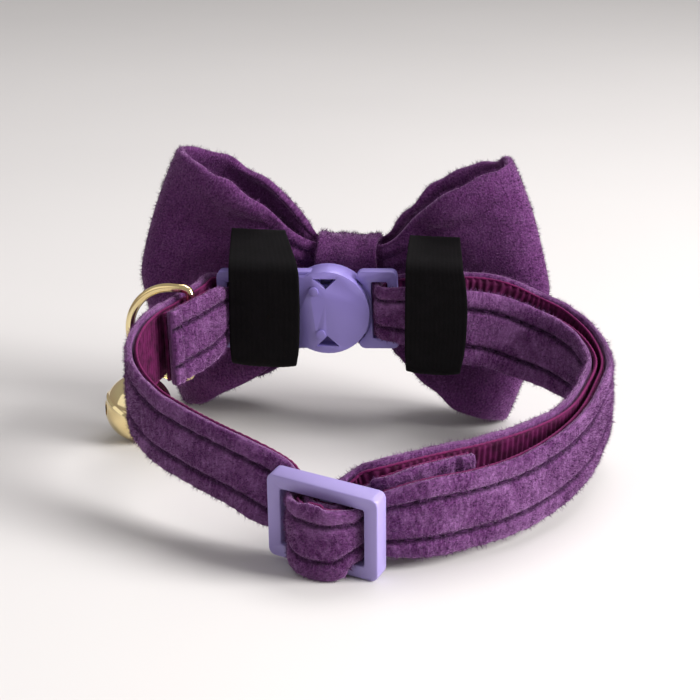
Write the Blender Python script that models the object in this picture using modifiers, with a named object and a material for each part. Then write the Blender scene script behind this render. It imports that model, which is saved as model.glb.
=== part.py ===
"""Pet bow tie collar: velvet strap, slider, breakaway buckle, bell on a ring, and a bow at the back.

Units are metres, +Z is up. The strap is one length. It starts at its tail, wraps the slider's middle bar,
runs round the right side as the inner layer, wraps the male buckle's bar, comes back as the outer layer,
goes through the slider over the middle bar, round the left side, and wraps the female buckle's bar.
Velvet lies on the outside of every wrap and woven webbing on the inside.
"""

import math

import bmesh
import bpy
from mathutils import Matrix, Vector

COLLECTION = "pet_bow_tie_collar"

# Strap: velvet sewn on webbing, and the clearance between pieces that touch
STRAP_WIDTH = 0.0110
VELVET_THICK = 0.0010
WEBBING_THICK = 0.0005
WEBBING_MARGIN = 0.0006
SEWN_GAP = 0.0003
CLEARANCE = 0.0003
STRAP_BEND = 0.0016
STATION_STEP = 0.0026
STATION_TURN = math.radians(21)
LINE_STEP = 0.0003
LINE_SMOOTHING = 5

# Loop of the strap in plan, and the heights of its middle line at the slider and at the buckle
LOOP_WIDTH = 0.0620
LOOP_DEPTH = 0.0570
LOOP_MIDDLE_X = 0.0045
LOOP_MIDDLE_Y = -0.0153
SLIDER_END_HEIGHT = 0.0069
BUCKLE_END_HEIGHT = 0.0179
LOOP_LEAN = math.radians(10)

# Slider: a frame with a middle bar
SLIDER_LENGTH = 0.0151
SLIDER_HEIGHT = 0.0117
SLIDER_THICK = 0.0026
SLIDER_RIM = 0.0018
SLIDER_BAR = 0.0018
SLIDER_BAR_THICK = 0.0014
SLIDER_BAR_SET_BACK = 0.0006
SLIDER_X = 0.0046
SLIDER_Y = -0.0420
SLIDER_TURN = math.radians(-17)
SLIDER_LEAN = math.radians(9)
SLIDER_ROLL = math.radians(-4)

# Round corners of the plastic parts, outside and in their windows
PLATE_CORNER = 0.0009
WINDOW_CORNER = 0.0003

# Buckle: female half with a round head, male half with a tongue, each with a bar for the strap
BUCKLE_LENGTH = 0.0264
BUCKLE_X = -0.0077
BUCKLE_Y = 0.0089
BUCKLE_TURN = math.radians(2.6)
BUCKLE_LEAN = math.radians(5)
BUCKLE_RISE = 0.0007
BUCKLE_ROLL = math.radians(2)
ARM_HEIGHT = 0.0119
HEAD_RADIUS = ARM_HEIGHT * 0.53
HEAD_THICK = 0.0038
HEAD_TO_MALE_END = 0.0103
HEAD_X = BUCKLE_LENGTH / 2 - HEAD_TO_MALE_END
ARM_THICK = 0.0016
ARM_WIDTH = 0.0016
BAR_WIDTH = 0.0014
TONGUE_THICK = 0.0012
TONGUE_HEIGHT = ARM_HEIGHT * 0.635
WINDOW_WIDTH = 0.0034
WINDOW_HEIGHT = 0.0016
WINDOW_PLACE = 0.0052
PIP_RADIUS = 0.0007
PIP_HEIGHT = 0.0003
PIP_PLACE = 0.0033

# Bow: one folded loop of padded velvet, drawn in by the knot band
BOW_X = -0.0032
BOW_Y = 0.0179
WING_LEFT = 0.0322
WING_RIGHT = 0.0298
BOW_HEIGHT = 0.0397
BOW_WALL = 0.0020
BOW_PUFF = 0.0042
KNOT_HEIGHT = 0.0174
KNOT_DROP = 0.0009
KNOT_WIDTH = 0.0091
KNOT_WALL = 0.0012
PLEAT_DEPTH = 0.0011
PLEATS = 3
FOLD_TAPER = 0.21

# Elastic bands behind the bow, which the strap passes through
ELASTIC_WALL = 0.0010
ELASTIC_HEIGHT = 0.0198
ELASTIC_MIDDLE_Z = 0.0199
ELASTIC_CORNER = 0.0016

# Bell and its ring. The ring's straight side is between the strap's layers, at a place on the loop.
RING_WIRE = 0.0013
RING_HALF_HEIGHT = 0.0066
RING_REACH = 0.0093
RING_ACROSS = -0.884
RING_ALONG = 0.516
RING_RISE = 0.90
RING_TURN = math.radians(-4.6)
BELL_RADIUS = 0.0049
BELL_WALL = 0.0005
BELL_SLOT = 0.0007
BELL_HOLE = 0.0011
BELL_RIM = 0.0003
BELL_SPIN = math.radians(29)
SHANK_RADIUS = 0.0019
SHANK_WIRE = 0.0009

# Right side of the loop, from the buckle round to the slider. Columns: place across and along the loop as
# shares of half its width and depth, height as a share of the rise from slider to buckle, how far the inner
# layer lies inside the outer one in strap pitches, and how far it is lifted as a share of the strap's width
RIGHT_RUN = (
    # across, along, height, apart, lifted
    (0.306, 0.926, 1.10, 1.32, -0.16),
    (0.468, 0.958, 1.05, 1.26, -0.18),
    (0.629, 0.962, 0.88, 1.32, -0.14),
    (0.790, 0.926, 0.73, 1.40, -0.09),
    (0.939, 0.796, 0.55, 1.28, -0.03),
    (1.020, 0.579, 0.39, 1.08, 0.00),
    (1.006, 0.291, 0.28, 1.08, 0.02),
    (0.948, -0.042, 0.17, 1.25, 0.05),
    (0.842, -0.312, 0.08, 1.95, 0.08),
    (0.700, -0.554, 0.03, 2.60, 0.11),
    (0.542, -0.723, 0.01, 2.85, 0.12),
    (0.385, -0.850, 0.01, 2.50, 0.12),
)
# The tail lies outside the inner layer, over the last two rows of the right run and part of the one before
TAIL_RUN = RIGHT_RUN[-3:]
TAIL_PAST = 0.40
TAIL_APART = 1.12

# Left side of the loop, from the slider round to the buckle, with the same first three columns and the width
# of the strap there as a share of its full width, which is less where the ring gathers it
LEFT_RUN = (
    # across, along, height, width
    (-0.368, -0.751, 0.29, 1.00),
    (-0.494, -0.688, 0.37, 1.00),
    (-0.652, -0.589, 0.46, 1.00),
    (-0.800, -0.477, 0.55, 1.00),
    (-0.923, -0.323, 0.67, 1.00),
    (-0.990, -0.147, 0.77, 1.00),
    (-1.010, 0.049, 0.86, 1.00),
    (-0.998, 0.274, 0.91, 0.97),
    (-0.964, 0.488, 0.93, 0.90),
    (-0.890, 0.684, 1.00, 0.92),
)
# Inner end of the left side, from the buckle back to its hem
LEFT_END = (
    # across, along, height, width
    (-0.795, 0.628, 0.98, 0.96),
    (-0.840, 0.453, 0.95, 1.00),
    (-0.918, 0.242, 0.91, 1.00),
)

# Elastic bands. Columns: middle and width where the band spans the strap and where it is sewn to the bow,
# depth of its loop, and how much lower its top is at the strap than at the bow
ELASTICS = (
    # name, strap_x, strap_width, bow_x, bow_width, depth, drop
    ("elastic_left", -0.0133, 0.0104, -0.0162, 0.0078, 0.0094, 0.0042),
    ("elastic_right", 0.0112, 0.0082, 0.0101, 0.0072, 0.0088, 0.0030),
)

# Half of the bow seen from above, from the knot to the fold. Columns: distance out as a share of the half
# width, gap between the two panels as a share of the puff, and how much of the wing's height the panel on the
# buckle's side and the panel on the far side have reached
BOW_SECTIONS = (
    # out, gap, rise_near, rise_far
    (0.00, 0.36, 0.00, 0.00),
    (0.168, 0.40, 0.00, 0.00),
    (0.200, 0.46, 0.03, 0.09),
    (0.26, 0.66, 0.12, 0.31),
    (0.36, 0.84, 0.34, 0.55),
    (0.50, 1.00, 0.60, 0.76),
    (0.67, 0.98, 0.80, 0.89),
    (0.84, 0.76, 0.93, 0.96),
    (0.955, 0.40, 0.99, 0.99),
    (1.00, 0.00, 1.00, 1.00),
)
BOW_ROWS = 14
TURN_ROWS = 5

STRAP_THICK = VELVET_THICK + SEWN_GAP + WEBBING_THICK
PITCH = STRAP_THICK + CLEARANCE
HALF_STRAP = STRAP_THICK / 2
WRAP = HALF_STRAP + CLEARANCE


def material(name, colour, roughness, metallic=0.0):
    made = bpy.data.materials.new(name)
    made.use_nodes = True
    shader = made.node_tree.nodes["Principled BSDF"]
    shader.inputs["Base Color"].default_value = (*colour, 1)
    shader.inputs["Roughness"].default_value = roughness
    shader.inputs["Metallic"].default_value = metallic
    return made


def collection(name, shown=True):
    made = bpy.data.collections.new(name)
    made.hide_render = not shown
    bpy.context.scene.collection.children.link(made)
    return made


def place(obj, home, finish=None):
    """Moves the object to its collection and gives it its material."""
    for old in list(obj.users_collection):
        old.objects.unlink(obj)
    home.objects.link(obj)
    if finish:
        obj.data.materials.clear()
        obj.data.materials.append(finish)
    return obj


def smooth_round(obj, angle=40):
    obj.data.shade_smooth()
    obj.data.set_sharp_from_angle(angle=math.radians(angle))
    return obj


def mesh_object(name, mesh_or_bm, home, finish=None):
    if isinstance(mesh_or_bm, bmesh.types.BMesh):
        bmesh.ops.recalc_face_normals(mesh_or_bm, faces=mesh_or_bm.faces)
        data = bpy.data.meshes.new(name)
        mesh_or_bm.to_mesh(data)
        mesh_or_bm.free()
    else:
        data = mesh_or_bm
    return place(bpy.data.objects.new(name, data), home, finish)


def from_curve(curve, home, finish=None):
    """The curve object as a mesh object with its caps welded on."""
    graph = bpy.context.evaluated_depsgraph_get()
    data = bpy.data.meshes.new_from_object(curve.evaluated_get(graph))
    bm = bmesh.new()
    bm.from_mesh(data)
    bmesh.ops.remove_doubles(bm, verts=bm.verts, dist=0.000002)
    name, matrix = curve.name, curve.matrix_world.copy()
    bpy.data.objects.remove(curve)
    bpy.data.meshes.remove(data)
    made = mesh_object(name, bm, home, finish)
    made.name = name
    made.matrix_world = matrix
    return made


def flat_shape(name, outlines, thickness, home, finish=None):
    """A plate with the given closed outlines, the later ones being holes, thickness along local Z."""
    curve = bpy.data.curves.new(name, "CURVE")
    curve.dimensions = "2D"
    curve.fill_mode = "BOTH"
    curve.extrude = thickness / 2
    for outline in outlines:
        spline = curve.splines.new("POLY")
        spline.points.add(len(outline) - 1)
        for point, (x, y) in zip(spline.points, outline):
            point.co = (x, y, 0, 1)
        spline.use_cyclic_u = True
    made = bpy.data.objects.new(name, curve)
    home.objects.link(made)
    bpy.context.view_layer.update()
    return from_curve(made, home, finish)


def rounded_box(width, height, corner, steps=4):
    """Corner points of a rectangle with round corners, centred on the origin."""
    points = []
    for quarter in range(4):
        cx = (width / 2 - corner) * (1 if quarter in (0, 3) else -1)
        cy = (height / 2 - corner) * (1 if quarter in (0, 1) else -1)
        for step in range(steps + 1):
            angle = math.radians(90 * (quarter + step / steps))
            points.append((cx + corner * math.cos(angle), cy + corner * math.sin(angle)))
    return points


def block(name, size, at, home, finish=None):
    bm = bmesh.new()
    bmesh.ops.create_cube(bm, size=1)
    bmesh.ops.scale(bm, vec=size, verts=bm.verts)
    bmesh.ops.translate(bm, vec=at, verts=bm.verts)
    return mesh_object(name, bm, home, finish)


def cylinder(name, radius, depth, at, turn, home, segments=20):
    bm = bmesh.new()
    bmesh.ops.create_cone(
        bm, cap_ends=True, segments=segments, radius1=radius, radius2=radius, depth=depth
    )
    bmesh.ops.transform(bm, matrix=Matrix.Translation(at) @ turn, verts=bm.verts)
    return mesh_object(name, bm, home)


def boolean(obj, other, operation):
    modifier = obj.modifiers.new(other.name, "BOOLEAN")
    modifier.operation = operation
    modifier.solver = "EXACT"
    modifier.object = other
    other.hide_render = True
    other.display_type = "WIRE"


def smooth_line(rows):
    """Close points along a smooth curve through the rows, with what is left of its kinks evened out."""
    points = [tuple(map(float, row)) for row in rows]
    ends = [tuple(2 * a - b for a, b in zip(points[0], points[1]))]
    ends.append(tuple(2 * a - b for a, b in zip(points[-1], points[-2])))
    line = [ends[0], *points, ends[1]]
    made = []
    for before, here, there, after in zip(line, line[1:], line[2:], line[3:]):
        count = max(1, math.ceil(math.dist(here[:2], there[:2]) / LINE_STEP))
        knots = [0.0]
        for a, b in ((before, here), (here, there), (there, after)):
            knots.append(knots[-1] + max(math.dist(a[:3], b[:3]), 1e-6) ** 0.5)
        for number in range(count):
            t = knots[1] + (knots[2] - knots[1]) * number / count
            made.append(spline_point((before, here, there, after), knots, t))
    made.append(points[-1])
    for _ in range(LINE_SMOOTHING):
        middle = [
            tuple((a + 2 * b + c) / 4 for a, b, c in zip(*three))
            for three in zip(made, made[1:], made[2:])
        ]
        made = [made[0], *middle, made[-1]]
    return made


def spline_point(four, knots, t):
    """A point of the centripetal spline through four rows."""
    level = list(four)
    for reach in (1, 2):
        level = [
            tuple(
                ((knots[i + reach] - t) * p + (t - knots[i]) * q) / (knots[i + reach] - knots[i])
                for p, q in zip(level[i], level[i + 1])
            )
            for i in range(len(level) - 1)
        ]
    low, high = level
    return tuple(((knots[2] - t) * p + (t - knots[1]) * q) / (knots[2] - knots[1]) for p, q in zip(low, high))


def on_loop(across, along, height):
    rise = BUCKLE_END_HEIGHT - SLIDER_END_HEIGHT
    return (
        LOOP_MIDDLE_X + across * LOOP_WIDTH / 2,
        LOOP_MIDDLE_Y + along * LOOP_DEPTH / 2,
        SLIDER_END_HEIGHT + height * rise,
    )


def lean_at(height):
    """How the strap's width leans: towards the front at the slider's end, upright near the buckle."""
    share = min(1, max(0, (0.85 - height) / 0.4))
    return (0, -math.sin(LOOP_LEAN * share))


def inside_of(rows, distances):
    """The rows moved to the right of their direction of travel, which is the inside of the loop."""
    moved = []
    for number, (row, distance) in enumerate(zip(rows, distances)):
        before = rows[max(number - 1, 0)]
        after = rows[min(number + 1, len(rows) - 1)]
        dx, dy = after[0] - before[0], after[1] - before[1]
        length = math.hypot(dx, dy)
        moved.append((row[0] + dy / length * distance, row[1] - dx / length * distance, *row[2:]))
    return moved


def plate_frame(x, y, z, turn, lean):
    """Frame of an upright plate: local X along it, local Y up, local Z towards the loop's front."""
    turned = Matrix.Rotation(turn, 4, "Z") @ Matrix.Rotation(math.pi / 2 + lean, 4, "X")
    return Matrix.Translation((x, y, z)) @ turned


def slider_frame():
    """The slider stands on one end of its lower edge."""
    across, up = SLIDER_LENGTH / 2 - PLATE_CORNER, SLIDER_HEIGHT / 2 - PLATE_CORNER
    reach = across * math.sin(abs(SLIDER_ROLL)) + up * math.cos(SLIDER_ROLL) + PLATE_CORNER
    height = math.cos(SLIDER_LEAN) * reach + math.sin(SLIDER_LEAN) * SLIDER_THICK / 2
    level = plate_frame(SLIDER_X, SLIDER_Y, height, SLIDER_TURN, SLIDER_LEAN)
    return level @ Matrix.Rotation(SLIDER_ROLL, 4, "Z")


def buckle_frame():
    level = plate_frame(BUCKLE_X, BUCKLE_Y, BUCKLE_END_HEIGHT + BUCKLE_RISE, BUCKLE_TURN, BUCKLE_LEAN)
    return level @ Matrix.Rotation(BUCKLE_ROLL, 4, "Z")


def on_plate(frame, rows):
    """Strap rows from places in a plate's frame: along, out of the plate, width share, lift share."""
    made = []
    for along, out, width, lift in rows:
        place_in_world = frame @ Vector((along, lift * STRAP_WIDTH, out))
        made.append((*place_in_world, width, frame.col[1][0], frame.col[1][1]))
    return made


def around(centre, start, stop, radius, width):
    """Rows of a round turn of the strap's middle line about a bar's edge, from one angle to another."""
    rows = []
    for step in range(TURN_ROWS):
        turn = math.radians(start + (stop - start) * step / (TURN_ROWS - 1))
        rows.append((centre[0] + radius * math.cos(turn), centre[1] + radius * math.sin(turn), width, 0))
    return rows


def widening(rows, widths):
    return [(*row[:2], width, row[3]) for row, width in zip(rows, widths)]


def slider_passes():
    """The strap's ways through the slider: over the middle bar, and the tail's wrap round it."""
    squeeze = (SLIDER_HEIGHT - 2 * SLIDER_RIM - 2 * CLEARANCE) / STRAP_WIDTH
    low = -SLIDER_THICK / 2
    under = low - WRAP - CLEARANCE / 2
    back = -SLIDER_BAR_SET_BACK - SLIDER_BAR_THICK / 2
    front = back + SLIDER_BAR_THICK
    half = SLIDER_BAR / 2
    side = SLIDER_LENGTH / 2 - SLIDER_RIM
    bend = (side + STRAP_BEND - WRAP - CLEARANCE * 0.6, under + STRAP_BEND)
    over = WRAP + PITCH + CLEARANCE / 3
    right = [(side + SLIDER_RIM, under, 0.94, 0.04)]
    right += widening(around(bend, 270, 180, STRAP_BEND, squeeze), (0.80, 0.74, 0.69, squeeze, squeeze))
    right += widening(
        around((half, front), 0, 90, over, squeeze),
        (squeeze, squeeze, squeeze + 0.02, 0.85, 0.95),
    )
    left = [(-row[0], *row[1:]) for row in right[::-1]]
    right = right[1:]
    beside = half + WRAP
    tail = [
        (side, under - 1.04 * PITCH, 0.94, 0.03),
        (beside + 1.15 * PITCH, under - PITCH, 0.84, 0),
        (beside + 0.45 * PITCH, under - 0.67 * PITCH, 0.72, 0),
        (beside + 0.05 * PITCH, under - 0.05 * PITCH, squeeze, 0),
    ]
    tail += around((half, front), 0, 90, WRAP, squeeze)
    tail += around((-half, front), 90, 180, WRAP, squeeze)
    tail += around((-half, back), 180, 270, WRAP, squeeze)
    tail += [
        (0.10 * PITCH, back - WRAP - 0.48 * PITCH, 0.72, 0),
        (0.42 * PITCH, under - 1.04 * PITCH, 0.80, 0.01),
        (0.92 * PITCH, under - 1.64 * PITCH, 0.86, 0.03),
        (1.90 * PITCH, under - 2.20 * PITCH, 0.95, 0.07),
    ]
    frame = slider_frame()
    return on_plate(frame, right + left), on_plate(frame, tail)


def buckle_passes():
    """The strap's wraps round the bars of the male and the female half."""
    squeeze = (ARM_HEIGHT - 2 * ARM_THICK - 2 * CLEARANCE) / STRAP_WIDTH
    near = BUCKLE_LENGTH / 2 - BAR_WIDTH
    half = ARM_WIDTH / 2
    past = BUCKLE_LENGTH / 2 + WRAP
    male = [(past, half + WRAP, squeeze + 0.08, -0.02)]
    male += around((near, half), 90, 180, WRAP, squeeze)
    male += around((near, -half), 180, 270, WRAP, squeeze)
    male += [(past, -half - WRAP * 0.8, squeeze + 0.08, 0.02)]
    female = [(-row[0], *row[1:]) for row in male[:0:-1]]
    frame = buckle_frame()
    return on_plate(frame, male), on_plate(frame, female)


def strap_rows():
    """Rows of the whole strap, from its tail to its inner end: place, width share, and the width's lean."""
    over, wrap = slider_passes()
    male, female = buckle_passes()
    outer = [(*on_loop(*row[:3]), 1.0, *lean_at(row[2])) for row in RIGHT_RUN]
    inner = inside_of(outer, [row[3] * PITCH for row in RIGHT_RUN])
    inner = [(*row[:2], row[2] + run[4] * STRAP_WIDTH, *row[3:]) for row, run in zip(inner, RIGHT_RUN)]
    tail = inside_of(outer, [(row[3] - TAIL_APART) * PITCH for row in RIGHT_RUN])
    tail = [(*row[:2], row[2] + run[4] * STRAP_WIDTH / 2, *row[3:]) for row, run in zip(tail, RIGHT_RUN)]
    tail = tail[-len(TAIL_RUN) :]
    end = tuple(here + (past - here) * TAIL_PAST for past, here in zip(tail[0], tail[1]))
    left = [(*on_loop(*row[:3]), row[3], *lean_at(row[2])) for row in LEFT_RUN]
    left_end = [(*on_loop(*row[:3]), row[3], *lean_at(row[2])) for row in LEFT_END]
    rows = [end, *tail[1:]] + wrap + inner[-2::-1] + male
    return rows + outer + over + left + female + left_end


def strap_stations():
    """Frames along the strap: middle point, outward normal, direction of the width, and width."""
    line = smooth_line(strap_rows())
    points = [Vector(row[:3]) for row in line]
    runs = [(b - a).normalized() for a, b in zip([points[0], *points], [*points[1:], points[-1]])]
    stations = []
    travelled, kept = STATION_STEP, runs[0]
    for number, (point, row, run) in enumerate(zip(points, line, runs)):
        travelled += (point - points[max(number - 1, 0)]).length
        due = travelled >= STATION_STEP or run.angle(kept) >= STATION_TURN
        if not due and number < len(points) - 1:
            continue
        travelled, kept = 0, run
        up = Vector((row[4], row[5], math.sqrt(1 - row[4] ** 2 - row[5] ** 2)))
        up = (up - run * up.dot(run)).normalized()
        stations.append((point, up.cross(run).normalized(), up, row[3] * STRAP_WIDTH))
    return stations


def band(name, stations, low, high, narrower, rounding, home, finish):
    """A band along the stations between two distances from their middle line."""
    bm = bmesh.new()
    middle = (low + high) / 2
    rings = []
    for point, normal, up, width in stations:
        half = width / 2 - narrower
        flat = half - rounding
        section = [(low, -flat), (middle, -half), (high, -flat), (high, flat), (middle, half), (low, flat)]
        if not rounding:
            section = [(low, -half), (high, -half), (high, half), (low, half)]
        rings.append([bm.verts.new(point + normal * out + up * across) for out, across in section])
    sides = len(rings[0])
    for first, second in zip(rings, rings[1:]):
        for side in range(sides):
            after = (side + 1) % sides
            bm.faces.new((first[side], first[after], second[after], second[side]))
    bm.faces.new(rings[0])
    bm.faces.new(rings[-1][::-1])
    return smooth_round(mesh_object(name, bm, home, finish), 50)


def make_strap(home, velvet, webbing):
    stations = strap_stations()
    band(
        "velvet_strap", stations, HALF_STRAP - VELVET_THICK, HALF_STRAP, 0, VELVET_THICK * 0.35, home, velvet
    )
    band(
        "webbing", stations, -HALF_STRAP, -HALF_STRAP + WEBBING_THICK, WEBBING_MARGIN, 0, home, webbing
    )


def make_slider(home, cutters, plastic):
    frame = flat_shape(
        "slider",
        [
            rounded_box(SLIDER_LENGTH, SLIDER_HEIGHT, PLATE_CORNER, 3),
            rounded_box(
                SLIDER_LENGTH - 2 * SLIDER_RIM, SLIDER_HEIGHT - 2 * SLIDER_RIM, WINDOW_CORNER, 2
            ),
        ],
        SLIDER_THICK,
        home,
        plastic,
    )
    bar = block(
        "slider_middle_bar",
        (SLIDER_BAR, SLIDER_HEIGHT - SLIDER_RIM, SLIDER_BAR_THICK),
        (0, 0, -SLIDER_BAR_SET_BACK),
        cutters,
    )
    for obj in (frame, bar):
        obj.matrix_world = slider_frame()
    boolean(frame, bar, "UNION")
    smooth_round(frame)


def strap_end(name, near, facing, home, finish=None):
    """The flat frame at one end of the buckle: arms, and a bar that the strap wraps."""
    end = BUCKLE_LENGTH / 2
    window = STRAP_THICK + 2 * CLEARANCE
    outline = rounded_box(end - near, ARM_HEIGHT, PLATE_CORNER, 3)
    opening = rounded_box(window, ARM_HEIGHT - 2 * ARM_THICK, WINDOW_CORNER, 2)
    middle = (end + near) / 2
    aside = end - BAR_WIDTH - window / 2
    outlines = [
        [(facing * (x + middle), y) for x, y in outline],
        [(facing * (x + aside), y) for x, y in opening],
    ]
    return flat_shape(name, outlines, ARM_WIDTH, home, finish)


def make_buckle(home, cutters, plastic):
    frame = buckle_frame()
    flat = Matrix.Identity(4)
    end = BUCKLE_LENGTH / 2
    female = strap_end("buckle_female", -HEAD_X + HEAD_RADIUS * 0.2, -1, home, plastic)
    head = cylinder("buckle_head", HEAD_RADIUS, HEAD_THICK, (HEAD_X, 0, 0), flat, cutters, 40)
    body_size = (HEAD_RADIUS, HEAD_RADIUS * 1.74, HEAD_THICK)
    body = block("buckle_body", body_size, (HEAD_X - HEAD_RADIUS / 2, 0, 0), cutters)
    around_head = cylinder(
        "buckle_around_head", HEAD_RADIUS + CLEARANCE, HEAD_THICK * 2, (HEAD_X, 0, 0), flat, cutters, 40
    )
    slot_end = HEAD_X - HEAD_RADIUS * 0.35
    slot = block(
        "buckle_slot",
        (end - slot_end, TONGUE_HEIGHT + 4 * CLEARANCE, TONGUE_THICK + 2 * CLEARANCE),
        ((end + slot_end) / 2, 0, 0),
        cutters,
    )
    windows = []
    for side, name in ((1, "top"), (-1, "low")):
        far, near = side * WINDOW_PLACE, side * (WINDOW_PLACE - WINDOW_HEIGHT)
        half = WINDOW_WIDTH / 2
        outline = [(HEAD_X - half, far), (HEAD_X + half, far), (HEAD_X, near)]
        window = flat_shape(f"buckle_window_{name}", [outline], HEAD_THICK, cutters)
        windows.append(window)
    pips = []
    for side, x in ((1, -0.35), (-1, -0.2)):
        at = (HEAD_X + x * PIP_PLACE * 1.5, side * PIP_PLACE, HEAD_THICK / 2)
        pips.append(cylinder(f"buckle_pip_{side + 1}", PIP_RADIUS, 2 * PIP_HEIGHT, at, flat, cutters, 12))
    web = HEAD_X + HEAD_RADIUS * 0.7
    male = strap_end("buckle_male", web, 1, home, plastic)
    tongue_near = slot_end + CLEARANCE
    tongue_far = end - BAR_WIDTH - STRAP_THICK - 2 * CLEARANCE
    tongue = block(
        "buckle_tongue",
        (tongue_far - tongue_near, TONGUE_HEIGHT, TONGUE_THICK),
        ((tongue_far + tongue_near) / 2, 0, 0),
        cutters,
    )
    for obj in (female, head, body, around_head, slot, male, tongue, *pips):
        obj.matrix_world = frame
    for window in windows:
        window.matrix_world = frame @ Matrix.Translation((0, 0, HEAD_THICK * 0.53))
    boolean(female, head, "UNION")
    boolean(female, body, "UNION")
    for pip in pips:
        boolean(female, pip, "UNION")
    for window in windows:
        boolean(female, window, "DIFFERENCE")
    boolean(female, slot, "DIFFERENCE")
    boolean(male, around_head, "DIFFERENCE")
    boolean(male, tongue, "UNION")
    for obj in (female, male):
        smooth_round(obj)


def bow_point(panel, section, tall):
    """A point of the bow's middle surface. Panel is -1 on the buckle's side and 1 on the far side."""
    out, gap, rise_near, rise_far = section
    side = 1 if out >= 0 else -1
    out = abs(out)
    rise = rise_near if panel < 0 else rise_far
    knot_half = KNOT_HEIGHT / 2 - KNOT_WALL - 2 * CLEARANCE
    height = tall * (knot_half + (BOW_HEIGHT / 2 - knot_half) * rise) - KNOT_DROP * (1 - rise)
    reach = (WING_LEFT if side < 0 else WING_RIGHT) - BOW_WALL / 2
    x = side * out * reach * (1 - FOLD_TAPER * out * abs(tall) ** 1.4)
    depth = gap * BOW_PUFF
    loose = min(1, max(0, (out - BOW_SECTIONS[2][0]) / 0.10)) * (1 - out) ** 0.8
    ripple = PLEAT_DEPTH * loose * math.cos(math.pi * PLEATS * tall)
    if panel < 0:
        flare = abs(height) / (ELASTIC_HEIGHT / 2 + CLEARANCE) - 1
        hollow = min(depth, elastic_back() - CLEARANCE - BOW_WALL / 2)
        depth = hollow + (depth * 1.15 - hollow) * min(1, max(0, flare / 0.5))
    else:
        depth = depth * (1 + 0.25 * loose * (1 - tall * tall)) + ripple
    return Vector((x, panel * depth, height))


def elastic_back():
    """Distance from the bow's middle to the face that the knot band and the elastics share."""
    return BOW_SECTIONS[1][1] * BOW_PUFF + BOW_WALL / 2 + CLEARANCE + KNOT_WALL


def make_bow(home, velvet):
    columns = []
    for panel in (-1, 1):
        half = BOW_SECTIONS[1:-1]
        left = [(-row[0], *row[1:]) for row in half[::-1]]
        row_set = left + [BOW_SECTIONS[0]] + list(half)
        fold = (1.0, *BOW_SECTIONS[-1][1:])
        ordered = row_set + [fold] if panel < 0 else row_set[::-1] + [(-fold[0], *fold[1:])]
        columns += [(panel, section) for section in ordered]
    bm = bmesh.new()
    grid = []
    for panel, section in columns:
        talls = [2 * row / (BOW_ROWS - 1) - 1 for row in range(BOW_ROWS)]
        grid.append([bm.verts.new(bow_point(panel, section, tall)) for tall in talls])
    for first, second in zip(grid, grid[1:] + grid[:1]):
        for row in range(BOW_ROWS - 1):
            bm.faces.new((first[row], second[row], second[row + 1], first[row + 1]))
    bow = mesh_object("bow", bm, home, velvet)
    wall = bow.modifiers.new("Padded velvet", "SOLIDIFY")
    wall.thickness = BOW_WALL
    wall.offset = 0
    wall.use_even_offset = True
    wall.thickness_clamp = 0
    bow.location = (BOW_X, BOW_Y, 0)
    bow.location.z = -extent(bow)[0][2]
    smooth_round(bow, 60)
    return bow.location.z


def make_knot(home, velvet, middle):
    inner_depth = 2 * (BOW_SECTIONS[1][1] * BOW_PUFF + BOW_WALL / 2 + CLEARANCE)
    outer = rounded_box(inner_depth + 2 * KNOT_WALL, KNOT_HEIGHT, KNOT_WALL * 1.6, 4)
    inner = rounded_box(inner_depth, KNOT_HEIGHT - 2 * KNOT_WALL, KNOT_WALL * 0.5, 3)
    knot = flat_shape("knot_band", [outer, inner], KNOT_WIDTH, home, velvet)
    turn = Matrix.Rotation(math.pi / 2, 4, "Y") @ Matrix.Rotation(math.pi / 2, 4, "Z")
    knot.matrix_world = Matrix.Translation((BOW_X, BOW_Y, middle - KNOT_DROP)) @ turn
    smooth_round(knot)


def make_elastics(home, rubber):
    for name, strap_x, strap_width, bow_x, bow_width, depth, drop in ELASTICS:
        outer = rounded_box(depth, ELASTIC_HEIGHT, ELASTIC_CORNER, 4)
        inner = rounded_box(
            depth - 2 * ELASTIC_WALL, ELASTIC_HEIGHT - 2 * ELASTIC_WALL, ELASTIC_CORNER - ELASTIC_WALL, 4
        )
        elastic = flat_shape(name, [outer, inner], 1, home, rubber)
        for vertex in elastic.data.vertices:
            share = 0.5 - vertex.co.x / depth
            upper = max(0, vertex.co.y / (ELASTIC_HEIGHT / 2))
            vertex.co.y -= drop * share * upper
            width = bow_width + (strap_width - bow_width) * share
            vertex.co.z = vertex.co.z * width + (bow_x + (strap_x - bow_x) * share)
        turn = Matrix.Rotation(math.pi / 2, 4, "Y") @ Matrix.Rotation(math.pi / 2, 4, "Z")
        middle = BOW_Y - elastic_back() - depth / 2
        elastic.matrix_world = Matrix.Translation((0, middle, ELASTIC_MIDDLE_Z)) @ turn
        smooth_round(elastic)


def ring_frame():
    at = on_loop(RING_ACROSS, RING_ALONG, RING_RISE)
    return Matrix.Translation(at) @ Matrix.Rotation(RING_TURN, 4, "Z")


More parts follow.
